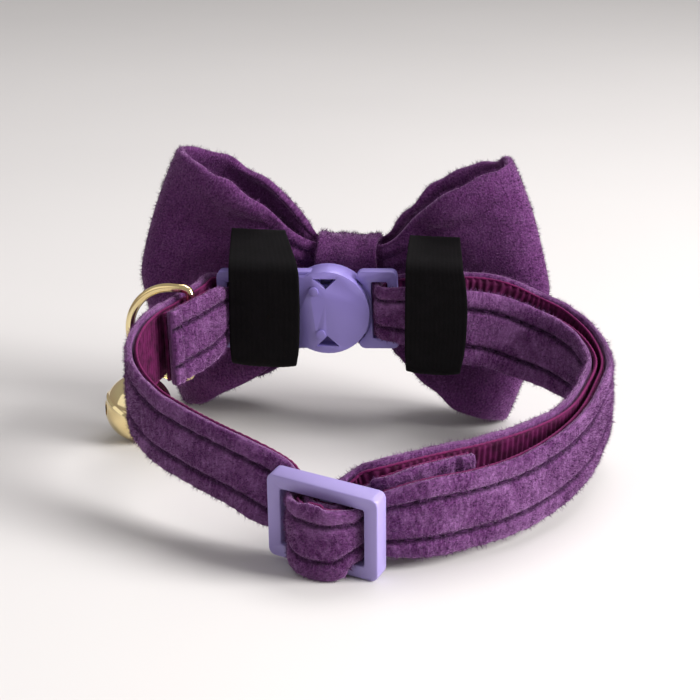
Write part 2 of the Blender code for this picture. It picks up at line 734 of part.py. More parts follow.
def make_ring(home, gold):
    """A round wire ring with one straight side, which lies between the strap's layers."""
    arc = RING_HALF_HEIGHT
    straight = RING_REACH - arc
    points = [(0, -arc * 0.86), (0, 0), (0, arc * 0.86), (-straight * 0.35, arc)]
    for step in range(13):
        angle = math.radians(90 + 15 * step)
        points.append((-straight + arc * math.cos(angle), arc * math.sin(angle)))
    points.append((-straight * 0.35, -arc))
    curve = bpy.data.curves.new("ring", "CURVE")
    curve.dimensions = "3D"
    curve.bevel_depth = RING_WIRE / 2
    curve.bevel_resolution = 1
    spline = curve.splines.new("POLY")
    spline.points.add(len(points) - 1)
    for point, (x, z) in zip(spline.points, points):
        point.co = (x, 0, z, 1)
    spline.use_cyclic_u = True
    made = bpy.data.objects.new("ring", curve)
    home.objects.link(made)
    made.matrix_world = ring_frame()
    bpy.context.view_layer.update()
    smooth_round(from_curve(made, home, gold))


def make_bell(home, cutters, gold):
    """A hollow round bell with a rim at its seam, crossed slots with round ends, and a wire loop on top."""
    outer, inner = BELL_RADIUS, BELL_RADIUS - BELL_WALL
    profile = []
    for step in range(13):
        angle = math.radians(90 - 15 * step)
        radius = outer + (BELL_RIM if step == 6 else 0)
        profile.append((radius * math.cos(angle), radius * math.sin(angle)))
    profile = [(max(x, 0.0), z) for x, z in profile]
    bm = bmesh.new()
    verts = [bm.verts.new((x, 0, z)) for x, z in profile]
    for first, second in zip(verts, verts[1:]):
        bm.edges.new((first, second))
    bell = mesh_object("bell", bm, home, gold)
    turn = bell.modifiers.new("Turned", "SCREW")
    turn.steps = turn.render_steps = 24
    turn.use_merge_vertices = True
    turn.merge_threshold = 0.000001
    hollow_bm = bmesh.new()
    bmesh.ops.create_uvsphere(hollow_bm, u_segments=24, v_segments=12, radius=inner)
    hollow = mesh_object("bell_hollow", hollow_bm, cutters)
    slots = []
    for number in range(2):
        spin = Matrix.Rotation(math.pi / 2 * number + BELL_SPIN, 4, "Z")
        slot_size = (BELL_RADIUS * 2.4, BELL_SLOT, BELL_RADIUS)
        slot = block(f"bell_slot_{number}", slot_size, (0, 0, -BELL_RADIUS * 0.85), cutters)
        slot.data.transform(spin)
        hole = cylinder(
            f"bell_hole_{number}",
            BELL_HOLE,
            BELL_RADIUS * 2.4,
            (0, 0, -BELL_RADIUS * 0.35),
            spin @ Matrix.Rotation(math.pi / 2, 4, "Y"),
            cutters,
            12,
        )
        slots += [slot, hole]
    bpy.ops.mesh.primitive_torus_add(
        major_segments=16, minor_segments=6, major_radius=SHANK_RADIUS, minor_radius=SHANK_WIRE / 2
    )
    neck = BELL_RADIUS + SHANK_RADIUS - SHANK_WIRE / 4
    shank = place(bpy.context.object, cutters)
    shank.name = "bell_shank"
    shank.data.transform(
        Matrix.Translation((0, 0, neck)) @ Matrix.Rotation(math.pi / 2, 4, "Y")
    )
    reach = RING_HALF_HEIGHT + neck
    drop = min(ring_frame().translation.z - BELL_RADIUS, reach)
    aside = math.sqrt(reach**2 - drop**2)
    at = Matrix.Translation((RING_HALF_HEIGHT - RING_REACH - aside, 0, -drop))
    matrix = ring_frame() @ at @ Matrix.Rotation(math.atan2(aside, drop), 4, "Y")
    for obj in (bell, hollow, shank, *slots):
        obj.matrix_world = matrix
    boolean(bell, shank, "UNION")
    boolean(bell, hollow, "DIFFERENCE")
    for slot in slots:
        boolean(bell, slot, "DIFFERENCE")
    smooth_round(bell)


def extent(obj):
    """Lowest and highest corner of the object in world space, as it is evaluated."""
    bpy.context.view_layer.update()
    shown = obj.evaluated_get(bpy.context.evaluated_depsgraph_get())
    data = shown.to_mesh()
    corners = [shown.matrix_world @ vertex.co for vertex in data.vertices]
    low = [min(corner[axis] for corner in corners) for axis in range(3)]
    high = [max(corner[axis] for corner in corners) for axis in range(3)]
    shown.to_mesh_clear()
    return low, high


def stand_on_origin(home, cutters):
    """Moves everything so that the collar stands on z = 0 with its box centred on the origin."""
    extents = [extent(obj) for obj in home.objects]
    low = [min(row[0][axis] for row in extents) for axis in range(3)]
    high = [max(row[1][axis] for row in extents) for axis in range(3)]
    shift = Vector((-(low[0] + high[0]) / 2, -(low[1] + high[1]) / 2, -low[2]))
    for obj in (*home.objects, *cutters.objects):
        obj.matrix_world = Matrix.Translation(shift) @ obj.matrix_world


def main():
    for obj in list(bpy.data.objects):
        bpy.data.objects.remove(obj)
    home = collection(COLLECTION)
    cutters = collection("cutters", shown=False)
    velvet = material("purple_velvet", (0.115, 0.035, 0.13), 0.9)
    webbing = material("magenta_webbing", (0.12, 0.01, 0.07), 0.7)
    plastic = material("lavender_plastic", (0.30, 0.24, 0.60), 0.35)
    rubber = material("black_elastic", (0.008, 0.007, 0.008), 0.85)
    gold = material("pale_gold", (0.83, 0.70, 0.38), 0.15, 1.0)
    make_strap(home, velvet, webbing)
    make_slider(home, cutters, plastic)
    make_buckle(home, cutters, plastic)
    bow_middle = make_bow(home, velvet)
    make_knot(home, velvet, bow_middle)
    make_elastics(home, rubber)
    make_ring(home, gold)
    make_bell(home, cutters, gold)
    stand_on_origin(home, cutters)


main()
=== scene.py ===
"""Pet bow tie collar in purple velvet, dressed for close looks on a pale floor.

The strap's route is worked out from the same sizes as its solids, then built finer, with stitches and pile.
"""

import math

import bmesh
import bpy
import numpy as np
from bpy.props import FloatProperty, FloatVectorProperty, IntProperty, PointerProperty
from mathutils import Matrix, Vector


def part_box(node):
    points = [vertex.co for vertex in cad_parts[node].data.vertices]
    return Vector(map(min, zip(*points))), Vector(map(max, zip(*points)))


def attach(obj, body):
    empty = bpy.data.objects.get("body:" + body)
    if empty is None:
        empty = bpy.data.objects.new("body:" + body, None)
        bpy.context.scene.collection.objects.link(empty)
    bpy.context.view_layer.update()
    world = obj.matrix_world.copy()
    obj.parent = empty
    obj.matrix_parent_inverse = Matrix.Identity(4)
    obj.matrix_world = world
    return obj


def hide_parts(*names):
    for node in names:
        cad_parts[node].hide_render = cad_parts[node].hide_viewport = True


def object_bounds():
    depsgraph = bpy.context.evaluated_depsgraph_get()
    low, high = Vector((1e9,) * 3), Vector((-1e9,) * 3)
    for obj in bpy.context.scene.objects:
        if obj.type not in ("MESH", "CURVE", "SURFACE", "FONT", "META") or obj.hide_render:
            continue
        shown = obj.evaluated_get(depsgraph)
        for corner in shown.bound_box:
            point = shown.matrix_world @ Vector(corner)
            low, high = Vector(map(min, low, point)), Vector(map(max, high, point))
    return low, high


bl_info = {
    "name": "Pet Bow Tie Collar",
    "version": (1, 0, 0),
    "blender": (4, 5, 0),
    "location": "View3D > Sidebar > Collar",
    "description": "Builds the cloth, plastic and metal pieces of a small pet collar with a bow",
    "category": "Object",
}

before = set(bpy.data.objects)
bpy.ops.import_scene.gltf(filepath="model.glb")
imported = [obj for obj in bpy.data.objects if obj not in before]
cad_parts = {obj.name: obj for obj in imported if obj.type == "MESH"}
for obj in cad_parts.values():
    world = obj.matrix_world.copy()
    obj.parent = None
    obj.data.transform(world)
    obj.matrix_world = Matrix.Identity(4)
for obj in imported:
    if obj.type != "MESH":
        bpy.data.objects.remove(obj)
CAD_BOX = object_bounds()

MM = 0.001
STRAP_WIDTH = 0.0110
VELVET_THICK = 0.0010
WEBBING_THICK = 0.0005
WEBBING_MARGIN = 0.0006
SEWN_GAP = 0.0003
CLEARANCE = 0.0003
STRAP_BEND = 0.0016
LINE_STEP = 0.0003
LINE_SMOOTHING = 5
LOOP_WIDTH = 0.0620
LOOP_DEPTH = 0.0570
LOOP_MIDDLE_X = 0.0045
LOOP_MIDDLE_Y = -0.0153
SLIDER_END_HEIGHT = 0.0069
BUCKLE_END_HEIGHT = 0.0179
LOOP_LEAN = math.radians(10)
SLIDER_LENGTH = 0.0151
PLATE_CORNER = 0.0009
SLIDER_HEIGHT = 0.0117
SLIDER_THICK = 0.0026
SLIDER_RIM = 0.0018
SLIDER_BAR = 0.0018
SLIDER_BAR_THICK = 0.0014
SLIDER_BAR_SET_BACK = 0.0006
SLIDER_X = 0.0046
SLIDER_Y = -0.0420
SLIDER_TURN = math.radians(-17)
SLIDER_LEAN = math.radians(9)
SLIDER_ROLL = math.radians(-4)
BUCKLE_LENGTH = 0.0264
BUCKLE_X = -0.0077
BUCKLE_Y = 0.0089
BUCKLE_TURN = math.radians(2.6)
BUCKLE_LEAN = math.radians(5)
BUCKLE_RISE = 0.0007
BUCKLE_ROLL = math.radians(2)
ARM_HEIGHT = 0.0119
ARM_THICK = 0.0016
ARM_WIDTH = 0.0016
BAR_WIDTH = 0.0014
BOW_X = -0.0032
BOW_Y = 0.0179
WING_LEFT = 0.0322
WING_RIGHT = 0.0298
BOW_HEIGHT = 0.0397
BOW_WALL = 0.0020
BOW_PUFF = 0.0042
KNOT_HEIGHT = 0.0174
KNOT_DROP = 0.0009
KNOT_WIDTH = 0.0091
KNOT_WALL = 0.0012
PLEAT_DEPTH = 0.0011
PLEATS = 3
FOLD_TAPER = 0.21
ELASTIC_WALL = 0.0010
ELASTIC_HEIGHT = 0.0198
ELASTIC_MIDDLE_Z = 0.0199
ELASTIC_CORNER = 0.0016
RING_WIRE = 0.0013
RING_HALF_HEIGHT = 0.0066
RING_REACH = 0.0093
RING_ACROSS = -0.884
RING_ALONG = 0.516
RING_RISE = 0.90
RING_TURN = math.radians(-4.6)
BELL_RADIUS = 0.0049
BELL_WALL = 0.0005
BELL_SLOT = 0.0007
BELL_HOLE = 0.0011
SHANK_RADIUS = 0.0019
SHANK_WIRE = 0.0009

# Right side of the loop, from the buckle round to the slider
RIGHT_RUN = (
    # across, along, height, apart, lifted
    (0.306, 0.926, 1.10, 1.32, -0.16),
    (0.468, 0.958, 1.05, 1.26, -0.18),
    (0.629, 0.962, 0.88, 1.32, -0.14),
    (0.790, 0.926, 0.73, 1.40, -0.09),
    (0.939, 0.796, 0.55, 1.28, -0.03),
    (1.020, 0.579, 0.39, 1.08, 0.00),
    (1.006, 0.291, 0.28, 1.08, 0.02),
    (0.948, -0.042, 0.17, 1.25, 0.05),
    (0.842, -0.312, 0.08, 1.95, 0.08),
    (0.700, -0.554, 0.03, 2.60, 0.11),
    (0.542, -0.723, 0.01, 2.85, 0.12),
    (0.385, -0.850, 0.01, 2.50, 0.12),
)
TAIL_ROWS = 2
TAIL_PAST = 0.40
TAIL_APART = 1.12

# Left side of the loop, from the slider round to the buckle
LEFT_RUN = (
    # across, along, height, width
    (-0.368, -0.751, 0.29, 1.00),
    (-0.494, -0.688, 0.37, 1.00),
    (-0.652, -0.589, 0.46, 1.00),
    (-0.800, -0.477, 0.55, 1.00),
    (-0.923, -0.323, 0.67, 1.00),
    (-0.990, -0.147, 0.77, 1.00),
    (-1.010, 0.049, 0.86, 1.00),
    (-0.998, 0.274, 0.91, 0.97),
    (-0.964, 0.488, 0.93, 0.90),
    (-0.890, 0.684, 1.00, 0.92),
)
# Inner end of the left side, from the buckle back to its hem
LEFT_END = (
    # across, along, height, width
    (-0.795, 0.628, 0.98, 0.96),
    (-0.840, 0.453, 0.95, 1.00),
    (-0.918, 0.242, 0.91, 1.00),
)

# Half of the bow seen from above, from the knot to the fold
BOW_SECTIONS = (
    # out, gap, rise_near, rise_far
    (0.00, 0.36, 0.00, 0.00),
    (0.168, 0.40, 0.00, 0.00),
    (0.200, 0.46, 0.03, 0.09),
    (0.26, 0.66, 0.12, 0.31),
    (0.36, 0.84, 0.34, 0.55),
    (0.50, 1.00, 0.60, 0.76),
    (0.67, 0.98, 0.80, 0.89),
    (0.84, 0.76, 0.93, 0.96),
    (0.955, 0.40, 0.99, 0.99),
    (1.00, 0.00, 1.00, 1.00),
)
TURN_ROWS = 5

# Elastic bands: middle and width at the strap and at the bow, depth, drop of the top, and bulge of one edge
ELASTICS = (
    # name, strap_x, strap_width, bow_x, bow_width, depth, drop, bulge
    ("elastic_left", -0.0133, 0.0104, -0.0162, 0.0078, 0.0094, 0.0042, 0.0002),
    ("elastic_right", 0.0112, 0.0082, 0.0101, 0.0072, 0.0088, 0.0030, 0.0009),
)

# Only in the looks
FACE_POINTS = 31
FIBRE_HALF_WIDTH = 0.000035
FIBRE_ROOT_DEPTH = 0.00005
SWELL_SCALE = 20.0
SWELL_PRESSURE = 3.5
SWELL_FRAMES = 14
SWELL_LIMIT = 0.9 * MM
LIGHTS = (
    # name, place, size, power, colour
    ("key", (0.48, -0.08, 0.27), (0.26, 0.30), 5.0, (1.0, 0.985, 0.97)),
    ("fill", (-0.40, -0.35, 0.30), (0.45, 0.35), 0.3, (0.98, 0.98, 1.0)),
    ("above", (0.12, 0.20, 0.50), (0.40, 0.30), 1.5, (1.0, 0.97, 0.98)),
)
LIGHT_TARGET = (0, 0, 0.015)
CAMERA_PLACE = (0.0475, -0.2657, 0.1005)
CAMERA_TURN = (math.radians(72.5), 0, math.radians(10.13))

STRAP_THICK = VELVET_THICK + SEWN_GAP + WEBBING_THICK
PITCH = STRAP_THICK + CLEARANCE
HALF_STRAP = STRAP_THICK / 2
WRAP = HALF_STRAP + CLEARANCE


def colour_setting(name, description, default):
    return FloatVectorProperty(
        name=name, description=description, subtype="COLOR", size=3, default=default, min=0, max=1
    )


def length_setting(name, description, default, least=0.0):
    return FloatProperty(name=name, description=description, default=default, min=least, unit="LENGTH")


class CollarVelvet(bpy.types.PropertyGroup):
    colour: colour_setting("Velvet", "Colour of the velvet's pile", (0.098, 0.022, 0.110))
    shade: colour_setting("Velvet shade", "Colour deep in the pile", (0.022, 0.004, 0.028))
    # Painted sheen: a light colour mixed into the pile in streaks, patches and tufts, standing in for the
    # sheen of brushed velvet
    painted_sheen: colour_setting(
        "Velvet painted sheen", "Colour where the pile is brushed towards the light", (0.36, 0.165, 0.40)
    )
    pile: length_setting("Pile length", "Length of the velvet's fibres", 0.00062)
    stitch_inset: length_setting("Stitch inset", "Distance of the stitches from the strap's edge", 0.00275)
    stitch_pitch: length_setting("Stitch pitch", "Distance between stitches", 0.0019, 0.0005)
    strap_fibres: IntProperty(name="Strap fibres", description="Fibres on the strap", default=90000, min=0)
    bow_fibres: IntProperty(name="Bow fibres", description="Fibres on the bow", default=120000, min=0)


class CollarWebbing(bpy.types.PropertyGroup):
    colour: colour_setting("Webbing", "Colour of the woven webbing", (0.105, 0.008, 0.062))
    edge: colour_setting("Selvedge", "Colour of the webbing's edge threads", (0.150, 0.010, 0.080))
    rib: length_setting("Rib pitch", "Distance between the webbing's ribs", 0.0009, 0.0002)


class CollarPlastic(bpy.types.PropertyGroup):
    buckle: colour_setting("Buckle", "Colour of the buckle", (0.265, 0.212, 0.560))
    slider: colour_setting("Slider", "Colour of the slider", (0.320, 0.262, 0.545))
    softness: length_setting("Edge radius", "Radius of the moulded edges", 0.00028)


class CollarTrim(bpy.types.PropertyGroup):
    gold: colour_setting("Gold", "Colour of the plating on the ring and bell", (0.88, 0.74, 0.42))
    elastic: colour_setting("Elastic", "Colour of the elastic bands", (0.0016, 0.0012, 0.0016))
    bell_spin: FloatProperty(
        name="Bell spin", description="Turn of the bell's slots about its own axis",
        default=math.radians(29), subtype="ANGLE",
    )


class CollarStage(bpy.types.PropertyGroup):
    floor: colour_setting("Floor", "Colour of the floor", (0.68, 0.663, 0.656))
    lens: FloatProperty(name="Lens", description="Camera lens in millimetres", default=102.86, min=10)


# Route of the strap


def smooth_line(rows):
    """Close points along a smooth curve through the rows, with what is left of its kinks evened out."""
    points = [tuple(map(float, row)) for row in rows]
    ends = [tuple(2 * a - b for a, b in zip(points[0], points[1]))]
    ends.append(tuple(2 * a - b for a, b in zip(points[-1], points[-2])))
    line = [ends[0], *points, ends[1]]
    made = []
    for before, here, there, after in zip(line, line[1:], line[2:], line[3:]):
        count = max(1, math.ceil(math.dist(here[:2], there[:2]) / LINE_STEP))
        knots = [0.0]
        for a, b in ((before, here), (here, there), (there, after)):
            knots.append(knots[-1] + max(math.dist(a[:3], b[:3]), 1e-6) ** 0.5)
        for number in range(count):
            t = knots[1] + (knots[2] - knots[1]) * number / count
            made.append(spline_point((before, here, there, after), knots, t))
    made.append(points[-1])
    for _ in range(LINE_SMOOTHING):
        middle = [
            tuple((a + 2 * b + c) / 4 for a, b, c in zip(*three))
            for three in zip(made, made[1:], made[2:])
        ]
        made = [made[0], *middle, made[-1]]
    return made


def spline_point(four, knots, t):
    """A point of the centripetal spline through four rows."""
    level = list(four)
    for reach in (1, 2):
        level = [
            tuple(
                ((knots[i + reach] - t) * p + (t - knots[i]) * q) / (knots[i + reach] - knots[i])
                for p, q in zip(level[i], level[i + 1])
            )
            for i in range(len(level) - 1)
        ]
    low, high = level
    return tuple(((knots[2] - t) * p + (t - knots[1]) * q) / (knots[2] - knots[1]) for p, q in zip(low, high))


def on_loop(across, along, height):
    rise = BUCKLE_END_HEIGHT - SLIDER_END_HEIGHT
    return (
        LOOP_MIDDLE_X + across * LOOP_WIDTH / 2,
        LOOP_MIDDLE_Y + along * LOOP_DEPTH / 2,
        SLIDER_END_HEIGHT + height * rise,
    )


def lean_at(height):
    """How the strap's width leans: towards the front at the slider's end, upright near the buckle."""
    share = min(1, max(0, (0.85 - height) / 0.4))
    return (0, -math.sin(LOOP_LEAN * share))


def inside_of(rows, distances):
    """The rows moved to the right of their direction of travel, which is the inside of the loop."""
    moved = []
    for number, (row, distance) in enumerate(zip(rows, distances)):
        before = rows[max(number - 1, 0)]
        after = rows[min(number + 1, len(rows) - 1)]
        dx, dy = after[0] - before[0], after[1] - before[1]
        length = math.hypot(dx, dy)
        moved.append((row[0] + dy / length * distance, row[1] - dx / length * distance, *row[2:]))
    return moved


def plate_frame(x, y, z, turn, lean):
    """Frame of an upright plate: local X along it, local Y up, local Z towards the loop's front."""
    turned = Matrix.Rotation(turn, 4, "Z") @ Matrix.Rotation(math.pi / 2 + lean, 4, "X")
    return Matrix.Translation((x, y, z)) @ turned


def slider_frame():
    across, up = SLIDER_LENGTH / 2 - PLATE_CORNER, SLIDER_HEIGHT / 2 - PLATE_CORNER
    reach = across * math.sin(abs(SLIDER_ROLL)) + up * math.cos(SLIDER_ROLL) + PLATE_CORNER
    height = math.cos(SLIDER_LEAN) * reach + math.sin(SLIDER_LEAN) * SLIDER_THICK / 2
    level = plate_frame(SLIDER_X, SLIDER_Y, height, SLIDER_TURN, SLIDER_LEAN)
    return level @ Matrix.Rotation(SLIDER_ROLL, 4, "Z")


def buckle_frame():
    level = plate_frame(BUCKLE_X, BUCKLE_Y, BUCKLE_END_HEIGHT + BUCKLE_RISE, BUCKLE_TURN, BUCKLE_LEAN)
    return level @ Matrix.Rotation(BUCKLE_ROLL, 4, "Z")


def on_plate(plate, rows):
    """Strap rows from places in a plate's frame: along, out of the plate, width share, lift share."""
    made = []
    for along, out, width, lift in rows:
        at = plate @ Vector((along, lift * STRAP_WIDTH, out))
        made.append((*at, width, plate.col[1][0], plate.col[1][1]))
    return made


def around(centre, start, stop, radius, width):
    """Rows of a round turn of the strap's middle line about a bar's edge, from one angle to another."""
    rows = []
    for step in range(TURN_ROWS):
        turn = math.radians(start + (stop - start) * step / (TURN_ROWS - 1))
        rows.append((centre[0] + radius * math.cos(turn), centre[1] + radius * math.sin(turn), width, 0))
    return rows


def widening(rows, widths, lifts=(0, 0, 0, 0, 0)):
    return [(*row[:2], width, lift) for row, width, lift in zip(rows, widths, lifts)]


def slider_passes():
    """The strap's ways through the slider: over the middle bar, and the tail's wrap round it."""
    squeeze = (SLIDER_HEIGHT - 2 * SLIDER_RIM - 2 * CLEARANCE) / STRAP_WIDTH
    low = -SLIDER_THICK / 2
    under = low - WRAP - CLEARANCE / 2
    back = -SLIDER_BAR_SET_BACK - SLIDER_BAR_THICK / 2
    front = back + SLIDER_BAR_THICK
    half = SLIDER_BAR / 2
    side = SLIDER_LENGTH / 2 - SLIDER_RIM
    bend = (side + STRAP_BEND - WRAP - CLEARANCE * 0.6, under + STRAP_BEND)
    over = WRAP + PITCH + CLEARANCE / 3
    right = [(side + SLIDER_RIM, under, 0.94, 0.04)]
    right += widening(around(bend, 270, 180, STRAP_BEND, squeeze), (0.80, 0.74, 0.69, squeeze, squeeze))
    right += widening(
        around((half, front), 0, 90, over, squeeze),
        (squeeze, squeeze, 0.80, 0.93, 0.96),
        (0, 0, 0, -0.035, -0.05),
    )
    left = [(-row[0], *row[1:]) for row in right[::-1]]
    right = right[1:]
    beside = half + WRAP
    tail = [
        (side, under - 1.04 * PITCH, 0.94, 0.03),
        (beside + 1.15 * PITCH, under - PITCH, 0.84, 0),
        (beside + 0.45 * PITCH, under - 0.67 * PITCH, 0.72, 0),
        (beside + 0.05 * PITCH, under - 0.05 * PITCH, squeeze, 0),
    ]
    tail += around((half, front), 0, 90, WRAP, squeeze)
    tail += around((-half, front), 90, 180, WRAP, squeeze)
    tail += around((-half, back), 180, 270, WRAP, squeeze)
    tail += [
        (0.10 * PITCH, back - WRAP - 0.48 * PITCH, 0.72, 0),
        (0.42 * PITCH, under - 1.04 * PITCH, 0.80, 0.01),
        (0.92 * PITCH, under - 1.64 * PITCH, 0.86, 0.03),
        (1.90 * PITCH, under - 2.20 * PITCH, 0.95, 0.07),
    ]
    plate = slider_frame()
    return on_plate(plate, right + left), on_plate(plate, tail)


def buckle_passes():
    """The strap's wraps round the bars of the male and the female half."""
    squeeze = (ARM_HEIGHT - 2 * ARM_THICK - 2 * CLEARANCE) / STRAP_WIDTH
    near = BUCKLE_LENGTH / 2 - BAR_WIDTH
    half = ARM_WIDTH / 2
    past = BUCKLE_LENGTH / 2 + WRAP
    male = [(past, half + WRAP, squeeze + 0.08, -0.02)]
    male += around((near, half), 90, 180, WRAP, squeeze)
    male += around((near, -half), 180, 270, WRAP, squeeze)
    male += [(past, -half - WRAP * 0.8, squeeze + 0.08, 0.02)]
    female = [(-row[0], *row[1:]) for row in male[:0:-1]]
    plate = buckle_frame()
    return on_plate(plate, male), on_plate(plate, female)


def strap_rows():
    """Rows of the whole strap, from its tail to its inner end: place, width share, and the width's lean."""
    over, wrap = slider_passes()
    male, female = buckle_passes()
    outer = [(*on_loop(*row[:3]), 1.0, *lean_at(row[2])) for row in RIGHT_RUN]
    inner = inside_of(outer, [row[3] * PITCH for row in RIGHT_RUN])
    inner = [(*row[:2], row[2] + run[4] * STRAP_WIDTH, *row[3:]) for row, run in zip(inner, RIGHT_RUN)]
    tail = inside_of(outer, [(row[3] - TAIL_APART) * PITCH for row in RIGHT_RUN])
    tail = [(*row[:2], row[2] + run[4] * STRAP_WIDTH / 2, *row[3:]) for row, run in zip(tail, RIGHT_RUN)]
    tail = tail[-TAIL_ROWS - 1 :]
    end = tuple(here + (past - here) * TAIL_PAST for past, here in zip(tail[0], tail[1]))
    left = [(*on_loop(*row[:3]), row[3], *lean_at(row[2])) for row in LEFT_RUN]
    left_end = [(*on_loop(*row[:3]), row[3], *lean_at(row[2])) for row in LEFT_END]
    rows = [end, *tail[1:]] + wrap + inner[-2::-1] + male
    return rows + outer + over + left + female + left_end


def home_shift():
    """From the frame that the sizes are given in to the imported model's: the slider's middle fixes it."""
    low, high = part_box("slider")
    middle = (low + high) / 2
    return Vector((middle.x - SLIDER_X, middle.y - SLIDER_Y, low.z))


def strap_stations(step):
    """Close frames along the strap: middle, outward normal, direction of the width, width, and way along."""
    shift = home_shift()
    line = smooth_line(strap_rows())
    points = np.array([row[:3] for row in line])
    keep = [0]
    for number in range(1, len(points)):
        if np.linalg.norm(points[number] - points[keep[-1]]) > 0.4 * LINE_STEP:
            keep.append(number)
    line = np.array([line[number] for number in keep])
    way = np.concatenate([[0], np.cumsum(np.linalg.norm(np.diff(line[:, :3], axis=0), axis=1))])
    count = int(way[-1] / step) + 1
    at = np.linspace(0, way[-1], count)
    rows = np.stack([np.interp(at, way, line[:, column]) for column in range(6)], axis=1)
    runs = np.gradient(rows[:, :3], axis=0)
    reach = max(1, int(0.0004 / step))
    kernel = np.ones(2 * reach + 1) / (2 * reach + 1)
    padded = np.pad(runs, ((reach, reach), (0, 0)), mode="edge")
    runs = np.stack([np.convolve(padded[:, axis], kernel, mode="valid") for axis in range(3)], axis=1)
    runs /= np.linalg.norm(runs, axis=1)[:, None]
    ups = np.stack([rows[:, 4], rows[:, 5], np.sqrt(1 - rows[:, 4] ** 2 - rows[:, 5] ** 2)], axis=1)
    ups -= runs * (ups * runs).sum(1)[:, None]
    ups /= np.linalg.norm(ups, axis=1)[:, None]
    normals = np.cross(ups, runs)
    middles = rows[:, :3] + np.array(shift)
    return middles, normals, ups, rows[:, 3] * STRAP_WIDTH, at


# Shared builders


def finished(obj, finish, slot, *replaced):
    """Gives a new piece its material and puts it in the place of the solids that it stands for; the slot is
    not used.
    """
    obj.data.materials.clear()
    obj.data.materials.append(finish)
    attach(obj, "root")
    if replaced:
        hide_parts(*replaced)
    return obj


def linked(name, data):
    """A new object with this data, in the scene."""
    obj = bpy.data.objects.new(name, data)
    bpy.context.scene.collection.objects.link(obj)
    return obj


def places_of(data):
    """The places of a mesh's vertices, one row for each."""
    places = np.empty(len(data.vertices) * 3)
    data.vertices.foreach_get("co", places)
    return places.reshape(-1, 3)


def new_mesh(name, verts, faces, uvs=None, smooth=True):
    """A mesh object from arrays. The uvs, one row per vertex, are in millimetres."""
    data = bpy.data.meshes.new(name)
    data.from_pydata([tuple(row) for row in np.asarray(verts, float)], [], [tuple(face) for face in faces])
    data.validate()
    if smooth:
        data.shade_smooth()
    if uvs is not None:
        layer = data.uv_layers.new(name="Cloth")
        corners = np.empty(len(data.loops), np.int32)
        data.loops.foreach_get("vertex_index", corners)
        layer.data.foreach_set("uv", np.asarray(uvs, np.float32)[corners].ravel())
    return linked(name, data)


def grid_faces(rows, columns, around_columns=False, around_rows=False):
    """Quads over a grid of vertices that is stored row by row."""
    faces = []
    for row in range(rows if around_rows else rows - 1):
        after = (row + 1) % rows
        for column in range(columns if around_columns else columns - 1):
            beside = (column + 1) % columns
            faces.append(
                (
                    row * columns + column,
                    row * columns + beside,
                    after * columns + beside,
                    after * columns + column,
                )
            )
    return faces


def tube_faces(count, sides, closed=False):
    """Faces of a tube that is stored ring by ring, with a cap on each end unless it is closed."""
    faces = grid_faces(count, sides, True, closed)
    if not closed:
        faces.append(tuple(range(sides))[::-1])
        faces.append(tuple(range((count - 1) * sides, count * sides)))
    return faces


def wave(places, seed, lengths, axes=2):
    """A smooth wave over places in millimetres, roughly from -1 to 1, summed from a few directions."""
    random = np.random.default_rng(seed)
    total = np.zeros(len(places))
    for length in lengths:
        for _ in range(3):
            direction = random.normal(size=axes)
            direction /= np.linalg.norm(direction)
            phase = random.uniform(0, 2 * math.pi)
            total += np.sin(places @ direction * 2 * math.pi / length * random.uniform(0.8, 1.25) + phase)
    return total / (1.7 * len(lengths) ** 0.5 * 1.2)


def baked(obj, name):
    """A new mesh object from this one with its modifiers applied. The old one goes."""
    graph = bpy.context.evaluated_depsgraph_get()
    data = bpy.data.meshes.new_from_object(obj.evaluated_get(graph))
    data.name = name
    made = linked(name, data)
    made.matrix_world = obj.matrix_world.copy()
    drop(obj)
    return made


def drop(obj):
    data = obj.data
    bpy.data.objects.remove(obj)
    if isinstance(data, bpy.types.Mesh):
        bpy.data.meshes.remove(data)


def walled(sheet, thickness):
    """Gives a sheet its thickness, half of it to each side."""
    wall = sheet.modifiers.new("Wall", "SOLIDIFY")
    wall.thickness = thickness
    wall.offset = 0
    return wall


def subdivided(obj):
    smoother = obj.modifiers.new("Soft", "SUBSURF")
    smoother.levels = smoother.render_levels = 1


